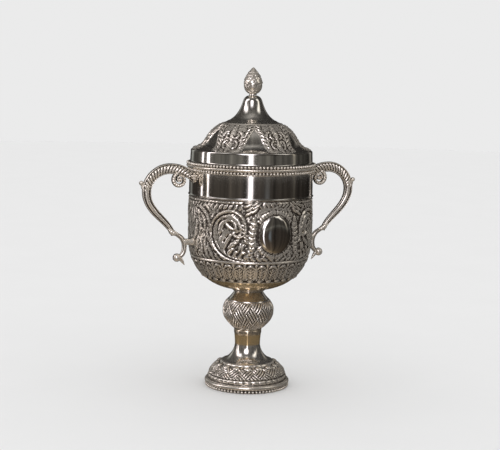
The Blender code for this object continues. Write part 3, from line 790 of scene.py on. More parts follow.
# The big scroll's leaves, from the lowest up: control points, steps, widths, rise and shape
CROOK_OUTER = (
    (((59.5, 172), (62.0, 160), (58.5, 149), (51.0, 142.0)), 12, (2.0, 4.4, 4.6, 3.4), 0.85,
     hollowed),
    (((50.2, 141.0), (54.5, 148), (53.5, 156), (55.0, 163), (56.0, 170), (51, 172), (47.5, 174)), 10,
     (2.2, 4.6, 5.4, 5.0, 4.2, 2.6), 0.8, rounded),
    (((52.1, 145.0), (50.0, 150), (48.0, 155), (44.0, 160)), 8, (1.8, 3.2, 3.8, 2.4), 1.05, rounded),
)
CROOK_INNER = (
    (((47.4, 138.6), (46.6, 142), (45.0, 144), (42.6, 146.4)), 8, (1.6, 3.0, 3.4, 2.0), 0.95, rounded),
    (((38.5, 137.6), (41.8, 140), (40.4, 144.5), (36.8, 143.6)), 8, (1.6, 3.0, 3.2, 1.8), 1.0,
     feathered(2.0, 0.9)),
    (((34.4, 138.0), (35.6, 141), (33.0, 144), (29.6, 142.6)), 8, (1.4, 2.8, 3.0, 1.6), 1.0,
     feathered(2.0, 0.9)),
    (((52.5, 177.2), (45.0, 178.4), (37.6, 176.6), (34.4, 166.6)), 12,
     (2.4, 5.4, 7.6, 7.4, 5.4, 3.4), 0.95, rounded),
    (((47.6, 173.6), (42.6, 174.4), (39.4, 171.0), (39.6, 165.6)), 12, (1.2, 2.6, 3.2, 2.2), 1.15,
     rounded),
    (((50.4, 172.6), (48.6, 168.0), (45.6, 166.4), (42.6, 165.4)), 8, (1.4, 2.6, 3.0, 1.8), 0.95,
     rounded),
    (((42.4, 161.6), (40.4, 158.2), (36.6, 156.8), (33.4, 158.6)), 8, (1.6, 2.3, 2.4, 1.8), 1.35,
     rounded),
)
CROOK_BLADES = (
    ((46.4, 146.8), (42.6, 152.2)), ((43.8, 147.8), (40.2, 153.6)), ((41.2, 149.4), (38.0, 155.0)),
    ((38.6, 151.6), (36.0, 156.2)), ((36.2, 145.0), (34.4, 151.2)), ((33.6, 144.4), (32.0, 150.6)),
)
CROOK_PITS = (
    (((54.9, 158.6), (54.1, 161.6)), (1.9, 2.3, 1.9), 1.7),
    (((51.4, 153.2), (50.8, 154.8)), (1.9, 2.3, 1.9), 1.7),
    (((48.9, 157.2), (46.6, 159.2)), (1.9, 2.3, 1.9), 1.7),
    (((38.6, 160.6), (36.6, 162.0)), (3.0, 3.4, 2.6), 1.8),
)
CROOK_RIBBON = (
    (30.0, 134.6), (42.0, 134.6), (53.0, 138.4), (59.0, 146.4), (66.6, 156.0), (66.0, 167.0),
    (59.4, 174.4), (54.0, 181.6), (41.0, 184.6), (34.6, 176.4), (31.0, 171.6), (29.4, 165.4),
    (32.2, 160.0),
)
CROOK_MIDDLE = (45.0, 163.0)


def crook(relief):
    """The big scroll beside a cartouche: its leaves, its pits, its ribbon and the ridge outside it"""
    for points, steps, *rest in CROOK_OUTER:
        relief.laid(trace(points, steps), *rest)
    for blade in CROOK_BLADES:
        relief.laid(blade, (1.2, 2.5, 1.6), 1.2)
    for points, steps, *rest in CROOK_INNER:
        relief.laid(trace(points, steps), *rest)
    for pit in CROOK_PITS:
        relief.sunk(*pit)
    path = trace(CROOK_RIBBON, 14)
    relief.laid(path, (2.4, 4.2, 5.6, 5.8, 5.8, 5.6, 5.4, 4.8, 3.8, 2.6), 1.35, ribbon)
    outer = np.array(path[28:])
    away = outer - CROOK_MIDDLE
    away /= np.hypot(*away.T)[:, None]
    relief.sunk(outer - 1.3 * away, (1.0, 2.8, 3.0, 1.6), 1.4)
    relief.laid(outer + 1.2 * away, (1.2, 2.7, 3.0, 2.2, 1.4), 1.75)


def cartouche_side(relief):
    """Slanted strokes that lie against the oval's lower corners, and sprays over its top"""
    for k in range(7):
        x, z = 27.4 + 0.5 * k, 152.0 + 3.6 * k
        relief.stroke([(x, z), (x + 3.6, z + 3.2)], (1.2, 2.2, 1.2), 0.95)
    for k in range(5):
        x, sag = 3.0 + 3.9 * k, k * k
        path = [(x, 187.6 - 0.12 * sag), (x + 2.6, 190.0 - 0.1 * sag)]
        relief.stroke(path, (1.0, 2.2, 1.2), 0.8)


# Sprays that fill the arch beside a handle: control points and width
SPRAYS = (
    ((70, 136), (74, 142), (76, 150), (72, 157), 4.6),
    ((84, 135.5), (79, 139), (77, 146), (80, 153), 4.6),
    ((96.6, 136), (91, 140), (86, 147), (85, 155), 6.0),
    ((96.6, 150), (92, 154), (88, 161), (89, 170), 6.0),
    ((83, 158), (80, 163), (80, 169), (84, 173), 4.4),
    ((75, 162), (73.6, 168), (75.4, 173), (79, 176), 4.0),
    ((96.6, 168), (93, 173), (92, 178), (95, 183), 5.0),
    ((84, 176), (87, 180), (91, 184), (96.6, 186), 4.0),
    ((63.5, 136), (66, 140), (69.5, 144), (70.5, 150), 3.6),
)
SIDE_STEM = ((60.4, 143.6), (65.0, 150.0), (69.4, 155.0), (71.6, 160.0))
SIDE_RIBBON = (
    (66.8, 161.0), (67.6, 169.0), (69.2, 177.0), (77.0, 182.0), (82.0, 185.4), (89.0, 186.0),
    (89.4, 181.0), (89.0, 177.4), (84.6, 177.6), (84.4, 180.6),
)


def side_scroll(relief):
    """The smaller scroll beside a handle, with the sprays that fill its arch"""
    for *points, wide in SPRAYS:
        widths = (0.5 * wide, wide, 0.95 * wide, 0.35 * wide)
        relief.stroke(trace(points, 8), widths, 0.8, feathered(2.6, 0.9))
    relief.laid(trace(SIDE_STEM, 10), (1.4, 2.8, 3.2, 1.6), 1.1)
    relief.laid(trace(SIDE_RIBBON, 10), (1.6, 3.0, 3.6, 3.6, 3.2, 2.6, 2.0), 1.25, ribbed)
    for leaf in (((66.6, 181.0), (73.8, 187.4)), ((63.6, 183.2), (69.4, 188.2))):
        relief.laid(leaf, (1.6, 3.0, 2.0), 1.2, hollowed)


# Bright flames where a scroll meets a cartouche: control points and width
FLAMES = (
    ((29.6, 179.2), (27.4, 180.2), (25.6, 181.6), (24.0, 183.6), 2.8),
    ((24.6, 181.4), (22.0, 182.4), (19.6, 184.6), (18.2, 187.2), 2.8),
    ((29.4, 183.4), (27.0, 184.0), (24.6, 185.8), (23.0, 188.0), 2.8),
    ((23.4, 185.6), (20.6, 186.6), (18.0, 188.4), (16.0, 190.6), 2.6),
    ((31.6, 187.4), (28.6, 187.6), (25.8, 188.8), (23.6, 190.8), 3.0),
    ((30.4, 190.8), (27.6, 191.0), (24.6, 191.8), (21.8, 193.4), 2.6),
    ((24.0, 188.6), (21.6, 189.4), (19.4, 190.8), (17.8, 192.6), 2.2),
)


def tuft(relief):
    """The flames, which stand over all that lies beside them"""
    for *points, wide in FLAMES:
        relief.laid(trace(points, 8), (0.5 * wide, wide, wide, 0.4 * wide), 1.7)


class CUP_OT_bowl(bpy.types.Operator):
    """Spin the bowl, chase its frieze and leaves and set the beads at its rim"""

    bl_idname = "cup.bowl"
    bl_label = "Bowl"

    def execute(self, context):
        sizes, colours = context.scene.cup_sizes, context.scene.cup_colours
        reliefs = {"frieze": chased_frieze, "leaves": leaf_band, "divider": rings, "groove": rings}
        looks = dict.fromkeys(("frieze", "leaves", "divider", "gap", "rim"), CHASED)
        # The underside gets most of the painted golden reflection, the seat a little
        looks |= {"under": (0.15, 0.9), "seat": (0.4, 0.2)}
        bowl = turned("bowl_chased", bowl_outline(), BOWL_COLUMNS, reliefs, looks)
        x, y, z = points_of(bowl.data) / MM
        oval = np.hypot(*on_oval(on_wall(np.arctan2(y, x)), z)) < 0.98
        polished(bowl.data, oval & (np.hypot(x, y) > BOWL_RADIUS - 1), 0.0)
        dressed(bowl, silver_finish("chased silver bowl", colours), "chased_silver", "bowl")
        beads("rim_beads", "chased_silver", sizes.rim_beads, 62.1, 218.8)
        return {"FINISHED"}


# Lid


LID_COLUMNS = 464
LID_BEADS = 224.75
PETAL_FOOT = 0.55
PETAL_MEET = 33.0
PETAL_TURN = radians(9.4)
SPIRE_RING = 266.6

# Small leaves in each petal: control points, widths and rise
PETAL_LEAVES = (
    (((4.4, 9), (8.4, 11), (8.4, 17), (4.6, 18.4)), (1.6, 2.2, 1.6), 0.95),
    (((9.5, 18.5), (12, 22), (10.5, 27), (6, 29)), (1.8, 3.2, 2.2), 1.0),
    (((3.2, 21), (6.6, 21.5), (7.6, 25), (5, 26.6)), (1.4, 2.0, 1.4), 0.9),
)


def lid_outline():
    """The lid: from under the spire to the bezel, then up the flange, band, dome and spire"""
    line = Outline()
    line.add("inside", [(0.0, 283.0), (4.0, 282.6), (7.6, 279.0)], 2.5)
    line.curve("inside", ((7.6, 279.0), (10.5, 271.0), (17.5, 266.0), (27.0, 263.4)), 3)
    line.curve("inside", ((27.0, 263.4), (37.5, 258.6), (42.2, 252.0), (45.4, 246.0)), 3)
    line.add("inside", [(45.4, 246.0), (48.6, 240.8), (58.6, 236.8), (59.2, 235.5), (59.2, 224.0),
                        (58.5, 222.6)], 4)
    line.add("bezel", [(58.5, 222.6), (58.5, BEZEL_LOW), (59.7, BEZEL_LOW), (59.7, LID_LOW)], 2.4)
    line.add("flange", [(59.7, LID_LOW), (63.3, LID_LOW)], 1.2)
    turns = [radians(turn) for turn in range(-80, 81, 16)]
    round_edge = [(63.2 + 1.25 * cos(turn), LID_LOW + 1.25 + 1.25 * sin(turn)) for turn in turns]
    line.add("flange", round_edge, 0.4)
    line.add("gap", [(62.6, 223.4), (62.4, 225.9), (61.6, 226.5)], 0.7)
    line.add("band", [(61.6, 226.5), (61.0, 226.7), (60.8, 227.2)], 0.3)
    line.add("band", [(60.8, 227.2), (60.4, 236.4)], 2)
    line.add("band", [(60.4, 236.4), (60.3, 237.3), (59.9, 237.9), (59.4, 238.1)], 0.4)
    line.curve("petals", ((59.4, 238.1), (53.6, 240.2), (49.4, 241.8), (46.6, 246.6)), 0.55)
    line.curve("petals", ((46.6, 246.6), (43.4, 252.6), (38.5, 259.8), (27.8, 264.9)), 0.55)
    line.curve("spire", ((27.8, 264.9), (16.5, 268.6), (12.4, 277.0), (9.6, 286.0)), 1.0)
    line.curve("spire", ((9.6, 286.0), (8.9, 288.4), (7.2, 290.9), (4.4, 291.4)), 0.7)
    line.add("spire", [(4.4, 291.4), (4.0, LID_TOP), (0.0, LID_TOP)], 1.3)
    return line


def inside_petal(angle, radius, arc, sizes):
    """How far off a petal's middle a spot is, and how far inside its edge, in millimetres"""
    off = folded(angle, sizes.petals, PETAL_TURN + pi / sizes.petals) * radius
    foot = bulge(1 - held((arc - 0.6) / 5.0))
    spread = PETAL_FOOT + (1 - PETAL_FOOT) * held(arc / PETAL_MEET) ** 2
    return off, spread * (0.35 + 0.65 * foot) * pi / sizes.petals * radius - off


def lid_petals(spots, sizes):
    """Petals with feathered sides and leaves inside a thin edge, and a ring over them"""
    arc, left = spots.arc, spots.length - spots.arc
    off, within = inside_petal(spots.angle, spots.radius, arc, sizes)
    inner = (within > 0) & (arc > 0.6) & (left > 3.2)
    edge = bell(within - 0.5, 0.5) * (arc > 0.6) * (left > 2.8)
    seam = 0.8 * bell(within - 5.4, 0.5) * inner
    strip = 1.5 * strokes(arc / 4.3 + 0.16 * within) * bulge((within - 2.95) / 2.1) * inner
    relief = Relief(off, arc)
    relief.stroke([(0, 3.0), (0, 17)], (3, 6.5, 7, 3), 0.95, feathered(3.6, 1.2))
    relief.stroke([(0, 18), (0, spots.length - 4)], (2, 5.5, 6, 3), 0.95, feathered(3.4, 1.2))
    for points, widths, rise in PETAL_LEAVES:
        relief.stroke(trace(points, 8), widths, rise)
    top = np.maximum.reduce([edge, seam, strip, relief.height * (within > 5.8) * inner])
    ground = np.where(inner, punched_ground(spots, arc, 1.45, sizes) - 0.15, 0)
    return sizes.leaf_rise / MM * top + ground + 0.55 * bell(left - 1.3, 0.7)


def spire_ring(spots, sizes):
    """A thin ring round the foot of the spire"""
    return 0.3 * bell(spots.level - SPIRE_RING, 0.5) * (spots.radius > 20)


class CUP_OT_lid(bpy.types.Operator):
    """Spin the lid, chase its petals and set the beads round its flange"""

    bl_idname = "cup.lid"
    bl_label = "Lid"

    def execute(self, context):
        sizes, colours = context.scene.cup_sizes, context.scene.cup_colours
        line = lid_outline()
        reliefs = {"petals": lid_petals, "spire": spire_ring}
        looks = dict.fromkeys(("petals", "gap", "flange"), CHASED) | {"spire": (0.16, 0)}
        lid = turned("lid_chased", line, LID_COLUMNS, reliefs, looks)
        x, y, z = points_of(lid.data) / MM
        petals = np.array(line.zones) == "petals"
        dome, arcs = np.array(line.rows)[petals, 1], run_along(line.rows)[petals]
        arc = np.interp(z, dome, arcs - arcs[0])
        _, within = inside_petal(np.arctan2(y, x), np.hypot(x, y), arc, sizes)
        polished(lid.data, (within < -0.4) & (z > dome.min()), 0.08)
        dressed(lid, silver_finish("polished silver lid", colours), "polished_silver", "lid")
        beads("lid_beads", "polished_silver", sizes.rim_beads, 63.2, LID_BEADS)
        return {"FINISHED"}


# Finial


FINIAL_COLUMNS = 160
BUD_WIDEST = 302.8
SCALE_PITCH = 3.3
SCALES_ROUND = 3.5


def finial_outline():
    """The bud on its short neck"""
    line = Outline()
    point = FINIAL_HIGH - 0.3
    line.add("neck", [(0.0, FINIAL_LOW), (3.6, FINIAL_LOW), (4.0, 292.5), (3.6, 293.1)], 0.4)
    line.curve("calyx", ((3.6, 293.1), (7.2, 294.6), (9.2, 297.6), (9.2, BUD_WIDEST)), 0.3)
    line.curve("scales", ((9.2, BUD_WIDEST), (9.2, 309.0), (4.6, 315.0), (0.6, point)), 0.3)
    line.add("scales", [(0.6, point), (0.0, FINIAL_HIGH)], 0.4)
    return line


def finial_calyx(spots, sizes):
    """Six petals under the bud"""
    petal = np.abs(np.cos(3 * spots.angle))
    lap = held((spots.level - 299.5 - 3.0 * petal) / 0.5)
    return held((spots.level - 293.5) / 4.0) * (0.30 * petal**0.6 - 0.15) - 0.25 * lap


def finial_scales(spots, sizes):
    """Pointed scales in rows that lap over each other"""
    place, turn = (spots.level - 302.0) / SCALE_PITCH, SCALES_ROUND * spots.angle
    tall = np.floor(place + 0.5 * np.abs(np.sin(turn + pi / 2 * np.floor(place))))
    fade = np.clip((FINIAL_HIGH - 1.0 - spots.level) / 6.0, 0.25, 1)
    spread = np.sqrt(np.abs(np.cos(turn + pi / 2 * tall)))
    return fade * (0.6 * spread * (1 - 0.9 * held(place - tall + 0.4)) - 0.1)


class CUP_OT_finial(bpy.types.Operator):
    """Spin the bud on the lid and chase its petals and scales"""

    bl_idname = "cup.finial"
    bl_label = "Finial"

    def execute(self, context):
        colours = context.scene.cup_colours
        reliefs = {"calyx": finial_calyx, "scales": finial_scales}
        looks = dict.fromkeys(reliefs, CHASED)
        finial = turned("finial_bud", finial_outline(), FINIAL_COLUMNS, reliefs, looks)
        dressed(finial, silver_finish("cast silver finial", colours), "cast_silver", "finial")
        return {"FINISHED"}


# Handles


HANDLE_SCALE = 100.6
HANDLE_FOOT = RIM + 5.3 - HANDLE_SCALE


def handle_at(points):
    """Places on the handle's plane from shares of its height, out from the wall and up"""
    return [(BOWL_RADIUS + out * HANDLE_SCALE, HANDLE_FOOT + up * HANDLE_SCALE)
            for out, up in points]


def spread_out(values, count):
    """Values evened out over count places"""
    return np.interp(np.linspace(0, 1, count), np.linspace(0, 1, len(values)), values)


def swept(path, widths, thicks, spokes, face, step=0.45):
    """A closed bar along a path; face(across, run, total) shares out half its thickness"""
    path = evened(path, step)
    count = len(path)
    width, thick = spread_out(widths, count), spread_out(thicks, count)
    along = np.gradient(path, axis=0)
    along /= np.hypot(*along.T)[:, None]
    out = np.stack((-along[:, 1], along[:, 0]), 1)
    bm = bmesh.new()
    layers = bm.verts.layers.int
    station, spoke = (layers.new(name) for name in ("station", "spoke"))
    bmesh.ops.create_circle(bm, cap_ends=True, segments=spokes, radius=1)
    bm.verts.ensure_lookup_table()
    for k, vert in enumerate(bm.verts):
        vert[spoke] = k
    end = bm.faces[:][0]
    for k in range(1, count):
        made = bmesh.ops.extrude_face_region(bm, geom=[end])["geom"]
        if k > 1:
            bmesh.ops.delete(bm, geom=[end], context="FACES_ONLY")
        end = next(item for item in made if isinstance(item, bmesh.types.BMFace))
        for vert in end.verts:
            vert[station] = k
    turns = 2 * pi * np.arange(spokes) / spokes
    across = 0.5 * np.sign(np.cos(turns)) * np.abs(np.cos(turns)) ** 0.9
    side = np.sign(np.round(np.sin(turns), 6))
    runs = run_along(path)
    for vert in bm.verts:
        k, n = vert[station], vert[spoke]
        high = side[n] * thick[k] / 2 * face(across[n], runs[k], runs[-1])
        middle = path[k] + out[k] * across[n] * width[k]
        vert.co = (middle[0] * MM, -high * MM, middle[1] * MM)
    for name in ("station", "spoke"):
        layers.remove(layers[name])
    outwards(bm)
    return bm


def round_root(value):
    """The height of a round section, from how far across it squared"""
    return sqrt(max(0.0, 1 - value))


def railed(across, rise, channel, wide):
    """A raised rail along each edge of a bar and a rib between"""
    x = abs(across) * 2
    rail = 0.95 * 2.718 ** (-(((x - 0.85) / 0.11) ** 2))
    return round_root(x**8) * max(channel + rise * round_root((x / wide) ** 2), rail)


def arch_face(across, run, total):
    """Slanted strokes between the rails on the upper scroll, a plain channel with a rib below"""
    share = run / total
    upper = float(held((0.56 - share) / 0.06) * held((share - 0.03) / 0.04))
    slanted = abs(cos(pi * (run / 3.3 + 1.5 * across)))
    carved = railed(across, 0.10 + 0.52 * slanted, 0.34, 0.70)
    return upper * carved + (1 - upper) * railed(across, 0.36, 0.28, 0.42)


def plain_face(across, run, total):
    """A plain rail along each edge and a low rib between"""
    return railed(across, 0.34, 0.34, 0.45)


def round_face(across, run, total):
    """A plain round section"""
    return round_root((2 * across) ** 2)


def leaf_face(across, run, total):
    """A leaf's round back with strokes across it"""
    slanted = abs(cos(pi * (run / 2.2 + 1.2 * abs(across))))
    return round_face(across, run, total) * (0.72 + 0.28 * slanted)


def ball(out, up, radius):
    """A turned boss on the handle"""
    (x, z), = handle_at([(out, up)])
    bm = bmesh.new()
    bmesh.ops.create_uvsphere(bm, u_segments=24, v_segments=16, radius=radius * MM)
    bmesh.ops.translate(bm, verts=bm.verts[:], vec=(x * MM, 0, z * MM))
    return bm


# Paths of the handle's bars, out and up as shares of its height
ARCH = (
    (-0.012, 0.820), (0.020, 0.890), (0.110, 0.944), (0.242, 0.946), (0.360, 0.948), (0.478, 0.855),
    (0.478, 0.726), (0.478, 0.636), (0.434, 0.572), (0.363, 0.500), (0.286, 0.425), (0.212, 0.358),
    (0.200, 0.298),
)
ARCH_WIDTHS = (6.0, 8.6, 10.2, 10.5, 10.5, 10.2, 9.6, 9.0, 8.2, 7.6, 7.0, 6.0, 4.4)
LOOP = (
    (0.224, 0.322), (0.138, 0.305), (0.084, 0.262), (0.084, 0.184), (0.084, 0.129), (0.104, 0.088),
    (0.158, 0.078),
)
SPUR = ((0.452, 0.775), (0.490, 0.785), (0.512, 0.790), (0.530, 0.804))
THUMB = ((0.492, 0.730), (0.520, 0.765), (0.522, 0.780), (0.530, 0.795))
TIP = ((0.140, 0.086), (0.108, 0.046), (0.079, 0.002))
STUB = ((-0.004, 0.229), (0.020, 0.229), (0.060, 0.229), (0.092, 0.227))
SHEATH = ((0.252, 0.362), (0.222, 0.330), (0.190, 0.312), (0.150, 0.310))
PLATE = ((-0.003, 0.800), (0.004, 0.840), (0.004, 0.880), (-0.003, 0.905))
CURL_STEPS = 44


def handle_parts():
    """The scrolls, leaves and bosses of one handle, for the right side"""
    def curved(points, steps):
        return trace(handle_at(points), steps)

    thicks = (6.5, 6.5, 6.3, 5.8, 5.2, 4.2)
    yield swept(curved(ARCH, 30), ARCH_WIDTHS, thicks, 56, arch_face, 0.55)
    widths = (2.6, 4.2, 4.9, 4.9, 4.6, 4.0)
    yield swept(curved(LOOP, 20), widths, (3.6, 4.5, 4.6, 4.2), 28, plain_face, 0.55)
    turns = [radians(78 - 12 * k) for k in range(CURL_STEPS)]
    radii = np.interp(np.arange(CURL_STEPS), (0, 12, 30, 43), (0.070, 0.060, 0.036, 0.018))
    curl = handle_at([(0.142 + r * cos(t), 0.838 + r * sin(t)) for t, r in zip(turns, radii)])
    yield swept(curl, (3.4, 4.2, 3.6, 2.6, 1.6), (5.6, 6.4, 6.8, 7.0, 7.2), 20, leaf_face)
    widths = (6.0, 5.4, 4.4, 3.6, 3.2)
    yield swept(curved(SPUR, 10), widths, (5.0, 4.6, 4.2, 3.6, 3.2), 20, leaf_face)
    yield ball(0.532, 0.812, 2.2)
    yield swept(curved(THUMB, 10), (1.2, 3.0, 3.0, 1.2), (2.6, 3.6, 3.2, 1.4), 16, leaf_face)
    yield swept(handle_at(TIP), (4.6, 3.8, 2.6, 0.6), (4.2, 3.4, 2.4, 0.8), 20, leaf_face)
    widths = (8.4, 7.0, 6.2, 6.6, 7.0)
    yield swept(handle_at(STUB), widths, (6.4, 5.0, 4.6, 4.6), 20, round_face, 0.5)
    yield swept(curved(SHEATH, 8), (1.6, 5.4, 5.2, 2.2), (3.6, 5.6, 5.4, 3.6), 20, leaf_face)
    yield swept(handle_at(PLATE), (0.8, 2.2, 2.2, 0.8), (3.0, 9.0, 9.0, 3.0), 20, leaf_face, 0.5)
    yield ball(0.160, 0.078, 4.1)
    yield ball(0.138, 0.836, 2.3)


def handle_mesh():
    """One whole cast handle"""
    whole = bmesh.new()
    for bm in handle_parts():
        part = meshed(bm, "part")
        whole.from_mesh(part)
        bpy.data.meshes.remove(part)
    mesh = meshed(whole, "handle")
    thick = np.abs(points_of(mesh)[1]) / MM
    # Thin spots of the bars count as sunk, so their grooves get tarnish and painted shade
    finish(mesh, 1.6 * thick, np.ones(len(thick)), np.zeros(len(thick)))
    return mesh


class CUP_OT_handles(bpy.types.Operator):
    """Sweep the two scroll handles"""

    bl_idname = "cup.handles"
    bl_label = "Handles"

    def execute(self, context):
        colours = context.scene.cup_colours
        silver = silver_finish("cast silver handle", colours, CAST_MATT)
        for side, turn in (("right", 0), ("left", pi)):
            mesh = handle_mesh()
            mesh.transform(Matrix.Rotation(turn, 4, "Z"))
            handle = finished(f"handle_{side}_cast", mesh)
            dressed(handle, silver, "cast_silver", f"handle_{side}")
        return {"FINISHED"}


# Silver


class Value:
    """A number in a material, so that its sums are written as Python"""

    def __init__(self, wiring, socket):
        self.wiring = wiring
        self.socket = socket

    def __add__(self, other):
        return self.wiring.math("ADD", self, other)

    __radd__ = __add__

    def __sub__(self, other):
        return self.wiring.math("SUBTRACT", self, other)

    def __rsub__(self, other):
        return self.wiring.math("SUBTRACT", other, self)

    def __mul__(self, other):
        return self.wiring.math("MULTIPLY", self, other)

    __rmul__ = __mul__

    def __pow__(self, other):
        return self.wiring.math("POWER", self, other)


class Wiring:
    """A node tree, wired in plain Python"""

    def __init__(self, tree):
        self.tree = tree

    def put(self, socket, value):
        """Links a socket, or sets it"""
        value = value.socket if isinstance(value, Value) else value
        if isinstance(value, bpy.types.NodeSocket):
            self.tree.links.new(value, socket)
        else:
            socket.default_value = value

    def node(self, kind, settings=(), **sockets):
        """Any node from its type, settings and sockets' values, whose names have _ for a space"""
        made = self.tree.nodes.new("ShaderNode" + kind)
        for name, value in dict(settings).items():
            setattr(made, name, value)
        for name, value in sockets.items():
            self.put(made.inputs[name.replace("_", " ")], value)
        return made

    def math(self, operation, *values):
        """A Math node"""
        made = self.node("Math", {"operation": operation})
        for socket, value in zip(made.inputs, values):
            self.put(socket, value)
        return Value(self, made.outputs[0])

    def parts(self, vector):
        """The three numbers of a vector"""
        return [Value(self, part) for part in self.node("SeparateXYZ", Vector=vector).outputs]

    def clamped(self, value):
        """A number held from 0 to 1"""
        made = self.math("ADD", value, 0.0)
        made.socket.node.use_clamp = True
        return made

    def mixed(self, share, first, second):
        """A colour between two others"""
        made = self.node("Mix", {"data_type": "RGBA"})
        for index, value in ((0, share), (6, first), (7, second)):
            self.put(made.inputs[index], value)
        return made.outputs[2]


class Paint(Wiring):
    """A material's nodes"""

    def __init__(self, name):
        self.material = bpy.data.materials.new(name)
        self.material.use_nodes = True
        super().__init__(self.material.node_tree)
        self.shader = self.tree.nodes["Principled BSDF"]

    def shade(self, name, value):
        """Sets or links an input of the surface's shader"""
        self.put(self.shader.inputs[name], value)

    def mark(self, name):
        """A number kept on the mesh"""
        return Value(self, self.node("Attribute", {"attribute_name": name}).outputs["Fac"])

    def noise(self, scale, detail=2.0, stretch=(1, 1, 1)):
        """Noise from 0 to 1 over the piece's own coordinates"""
        place = self.node("TexCoord").outputs["Object"]
        turned = self.node("Mapping", Vector=place, Scale=stretch).outputs["Vector"]
        made = self.node("TexNoise", Vector=turned, Scale=scale, Detail=detail, Roughness=0.6)
        return Value(self, made.outputs["Fac"])


def silver_finish(name, colours, matt=MATT):
    """Silver plate: bright where plain, matted where chased, dark in recesses from tarnish and painted
    shade, golden where a reflection from below is painted
    """
    paint = Paint(name)
    chased, sunk, painted_reflection_share = (paint.mark(mark) for mark in ("chased", "sunk", "painted_reflection_share"))
    cloud, fine = paint.noise(34.0, 3.0), paint.noise(520.0, 3.0)
    wipe = paint.noise(60.0, 4.0, (1, 1, 7))
    # Recesses take the tarnish colour: real tarnish in the hollows and painted shade
    recess = paint.clamped((sunk - 0.55) * 6.5 + (fine - 0.5) * 0.4)
    dark = paint.clamped(recess * (0.35 + 0.65 * chased))
    worn = paint.clamped(chased * (0.75 + 0.4 * cloud))
    bright = paint.mixed(worn, (*colours.silver, 1), (*colours.chased, 1))
    # Painted reflection: the warm colour laid where the mesh marks it, as if a golden surface below
    # were mirrored
    painted_reflection_mix = paint.clamped(0.18 * cloud + 0.85 * painted_reflection_share - 0.05)
    with_painted_reflection = paint.mixed(painted_reflection_mix, bright, (*colours.painted_reflection, 1))
    paint.shade("Base Color", paint.mixed(dark, with_painted_reflection, (*colours.tarnish_and_shade, 1)))
    rough = 0.07 + 0.06 * wipe + chased * (0.06 + 0.10 * fine) + dark * 0.25
    paint.shade("Roughness", paint.clamped(rough))
    # Less metal under the painted golden reflection, so that its colour shows
    paint.shade("Metallic", 1 - matt * chased - 0.16 * painted_reflection_share)
    ripple = paint.noise(22.0, 1.0) * (1 - chased) * 0.22
    punched = paint.noise(1150.0, 2.0) * chased * 0.16
    bump = paint.node("Bump", Height=ripple + punched, Distance=0.0008, Strength=0.55)
    paint.shade("Normal", bump.outputs["Normal"])
    return paint.material


# Studio


AIM = Vector((0, 0, 0.1626))
AWAY = 1.25
AZIMUTH = radians(-24)
PITCH = radians(7.16)
ROLL = radians(1.27)
LENS = 90
PANE_AWAY = 2.2
PANE_EDGE = 2.6
BRIGHT_SIDE = radians(35)
FLOOR = 4.0
FLOOR_GLOW = 1.385

# The room that the silver mirrors, from straight down to straight up
ROOM = (
    (0.0, (0.25, 0.19, 0.12)), (0.05, (0.19, 0.145, 0.095)), (0.16, (0.085, 0.066, 0.048)),
    (0.40, (0.044, 0.036, 0.030)), (0.45, (0.036, 0.030, 0.026)), (0.475, (0.054, 0.050, 0.045)),
    (0.50, (0.12, 0.117, 0.108)), (0.53, (0.054, 0.050, 0.045)), (0.88, (0.050, 0.046, 0.042)),
    (0.95, (0.11, 0.107, 0.10)), (1.0, (0.30, 0.29, 0.28)),
)

# The studio's window panes: turn from the camera, elevation, width and height, all in degrees,
# then brightness and colour
PANES = (
    ("pane_front", -0.5, 2, 12, 78, 3.2, (0.94, 0.92, 1.0)),
    ("pane_key", -8, 27, 42, 48, 6.0, (0.95, 0.92, 1.0)),
    ("pane_left_key", -84, 30, 26, 42, 3.8, (1.0, 0.93, 0.97)),
    ("pane_left_near", -86.5, 5, 10, 62, 3.4, (1.0, 0.95, 1.0)),
    ("pane_left_far", -101.5, 5, 8, 62, 2.4, (1.0, 0.94, 0.98)),
    ("pane_right", 86.0, 14, 12, 44, 0.6, (1.0, 0.93, 0.80)),
    ("pane_right_key", 74.0, 30, 26, 36, 1.2, (1.0, 0.96, 0.90)),
    ("pane_sky", 30.0, -8, 16, 13, 0.13, (0.55, 0.78, 1.0)),
    ("pane_back_left", -145.0, 9, 26, 50, 0.42, (0.97, 1.0, 0.96)),
    ("pane_back_right", 145.0, 9, 26, 50, 0.24, (1.0, 0.95, 0.88)),
    ("pane_top_left", -66.0, 46, 36, 34, 1.7, (1.0, 0.97, 1.0)),
    ("pane_top_right", 68.0, 46, 36, 34, 1.2, (1.0, 0.98, 0.94)),
    ("pane_low_front", -14.0, -38, 34, 26, 0.8, (1.0, 0.84, 0.62)),
)


def toward(turn, elevation):
    """The direction at a turn from the camera, to the image's right, and at an elevation"""
    level = Vector((sin(AZIMUTH + turn), -cos(AZIMUTH + turn), 0))
    return level * cos(elevation) + Vector((0, 0, sin(elevation)))


def placed(name, data, direction, away, roll=0.0):
    """A camera or light that looks at the cup from a direction"""
    made = bpy.data.objects.new(name, data)
    made.location = AIM + direction * away
    made.rotation_mode = "QUATERNION"
    turned = Matrix.Rotation(roll, 3, "Z").to_quaternion()
    made.rotation_quaternion = (-direction).to_track_quat("-Z", "Y") @ turned
    bpy.context.scene.collection.objects.link(made)
    return made


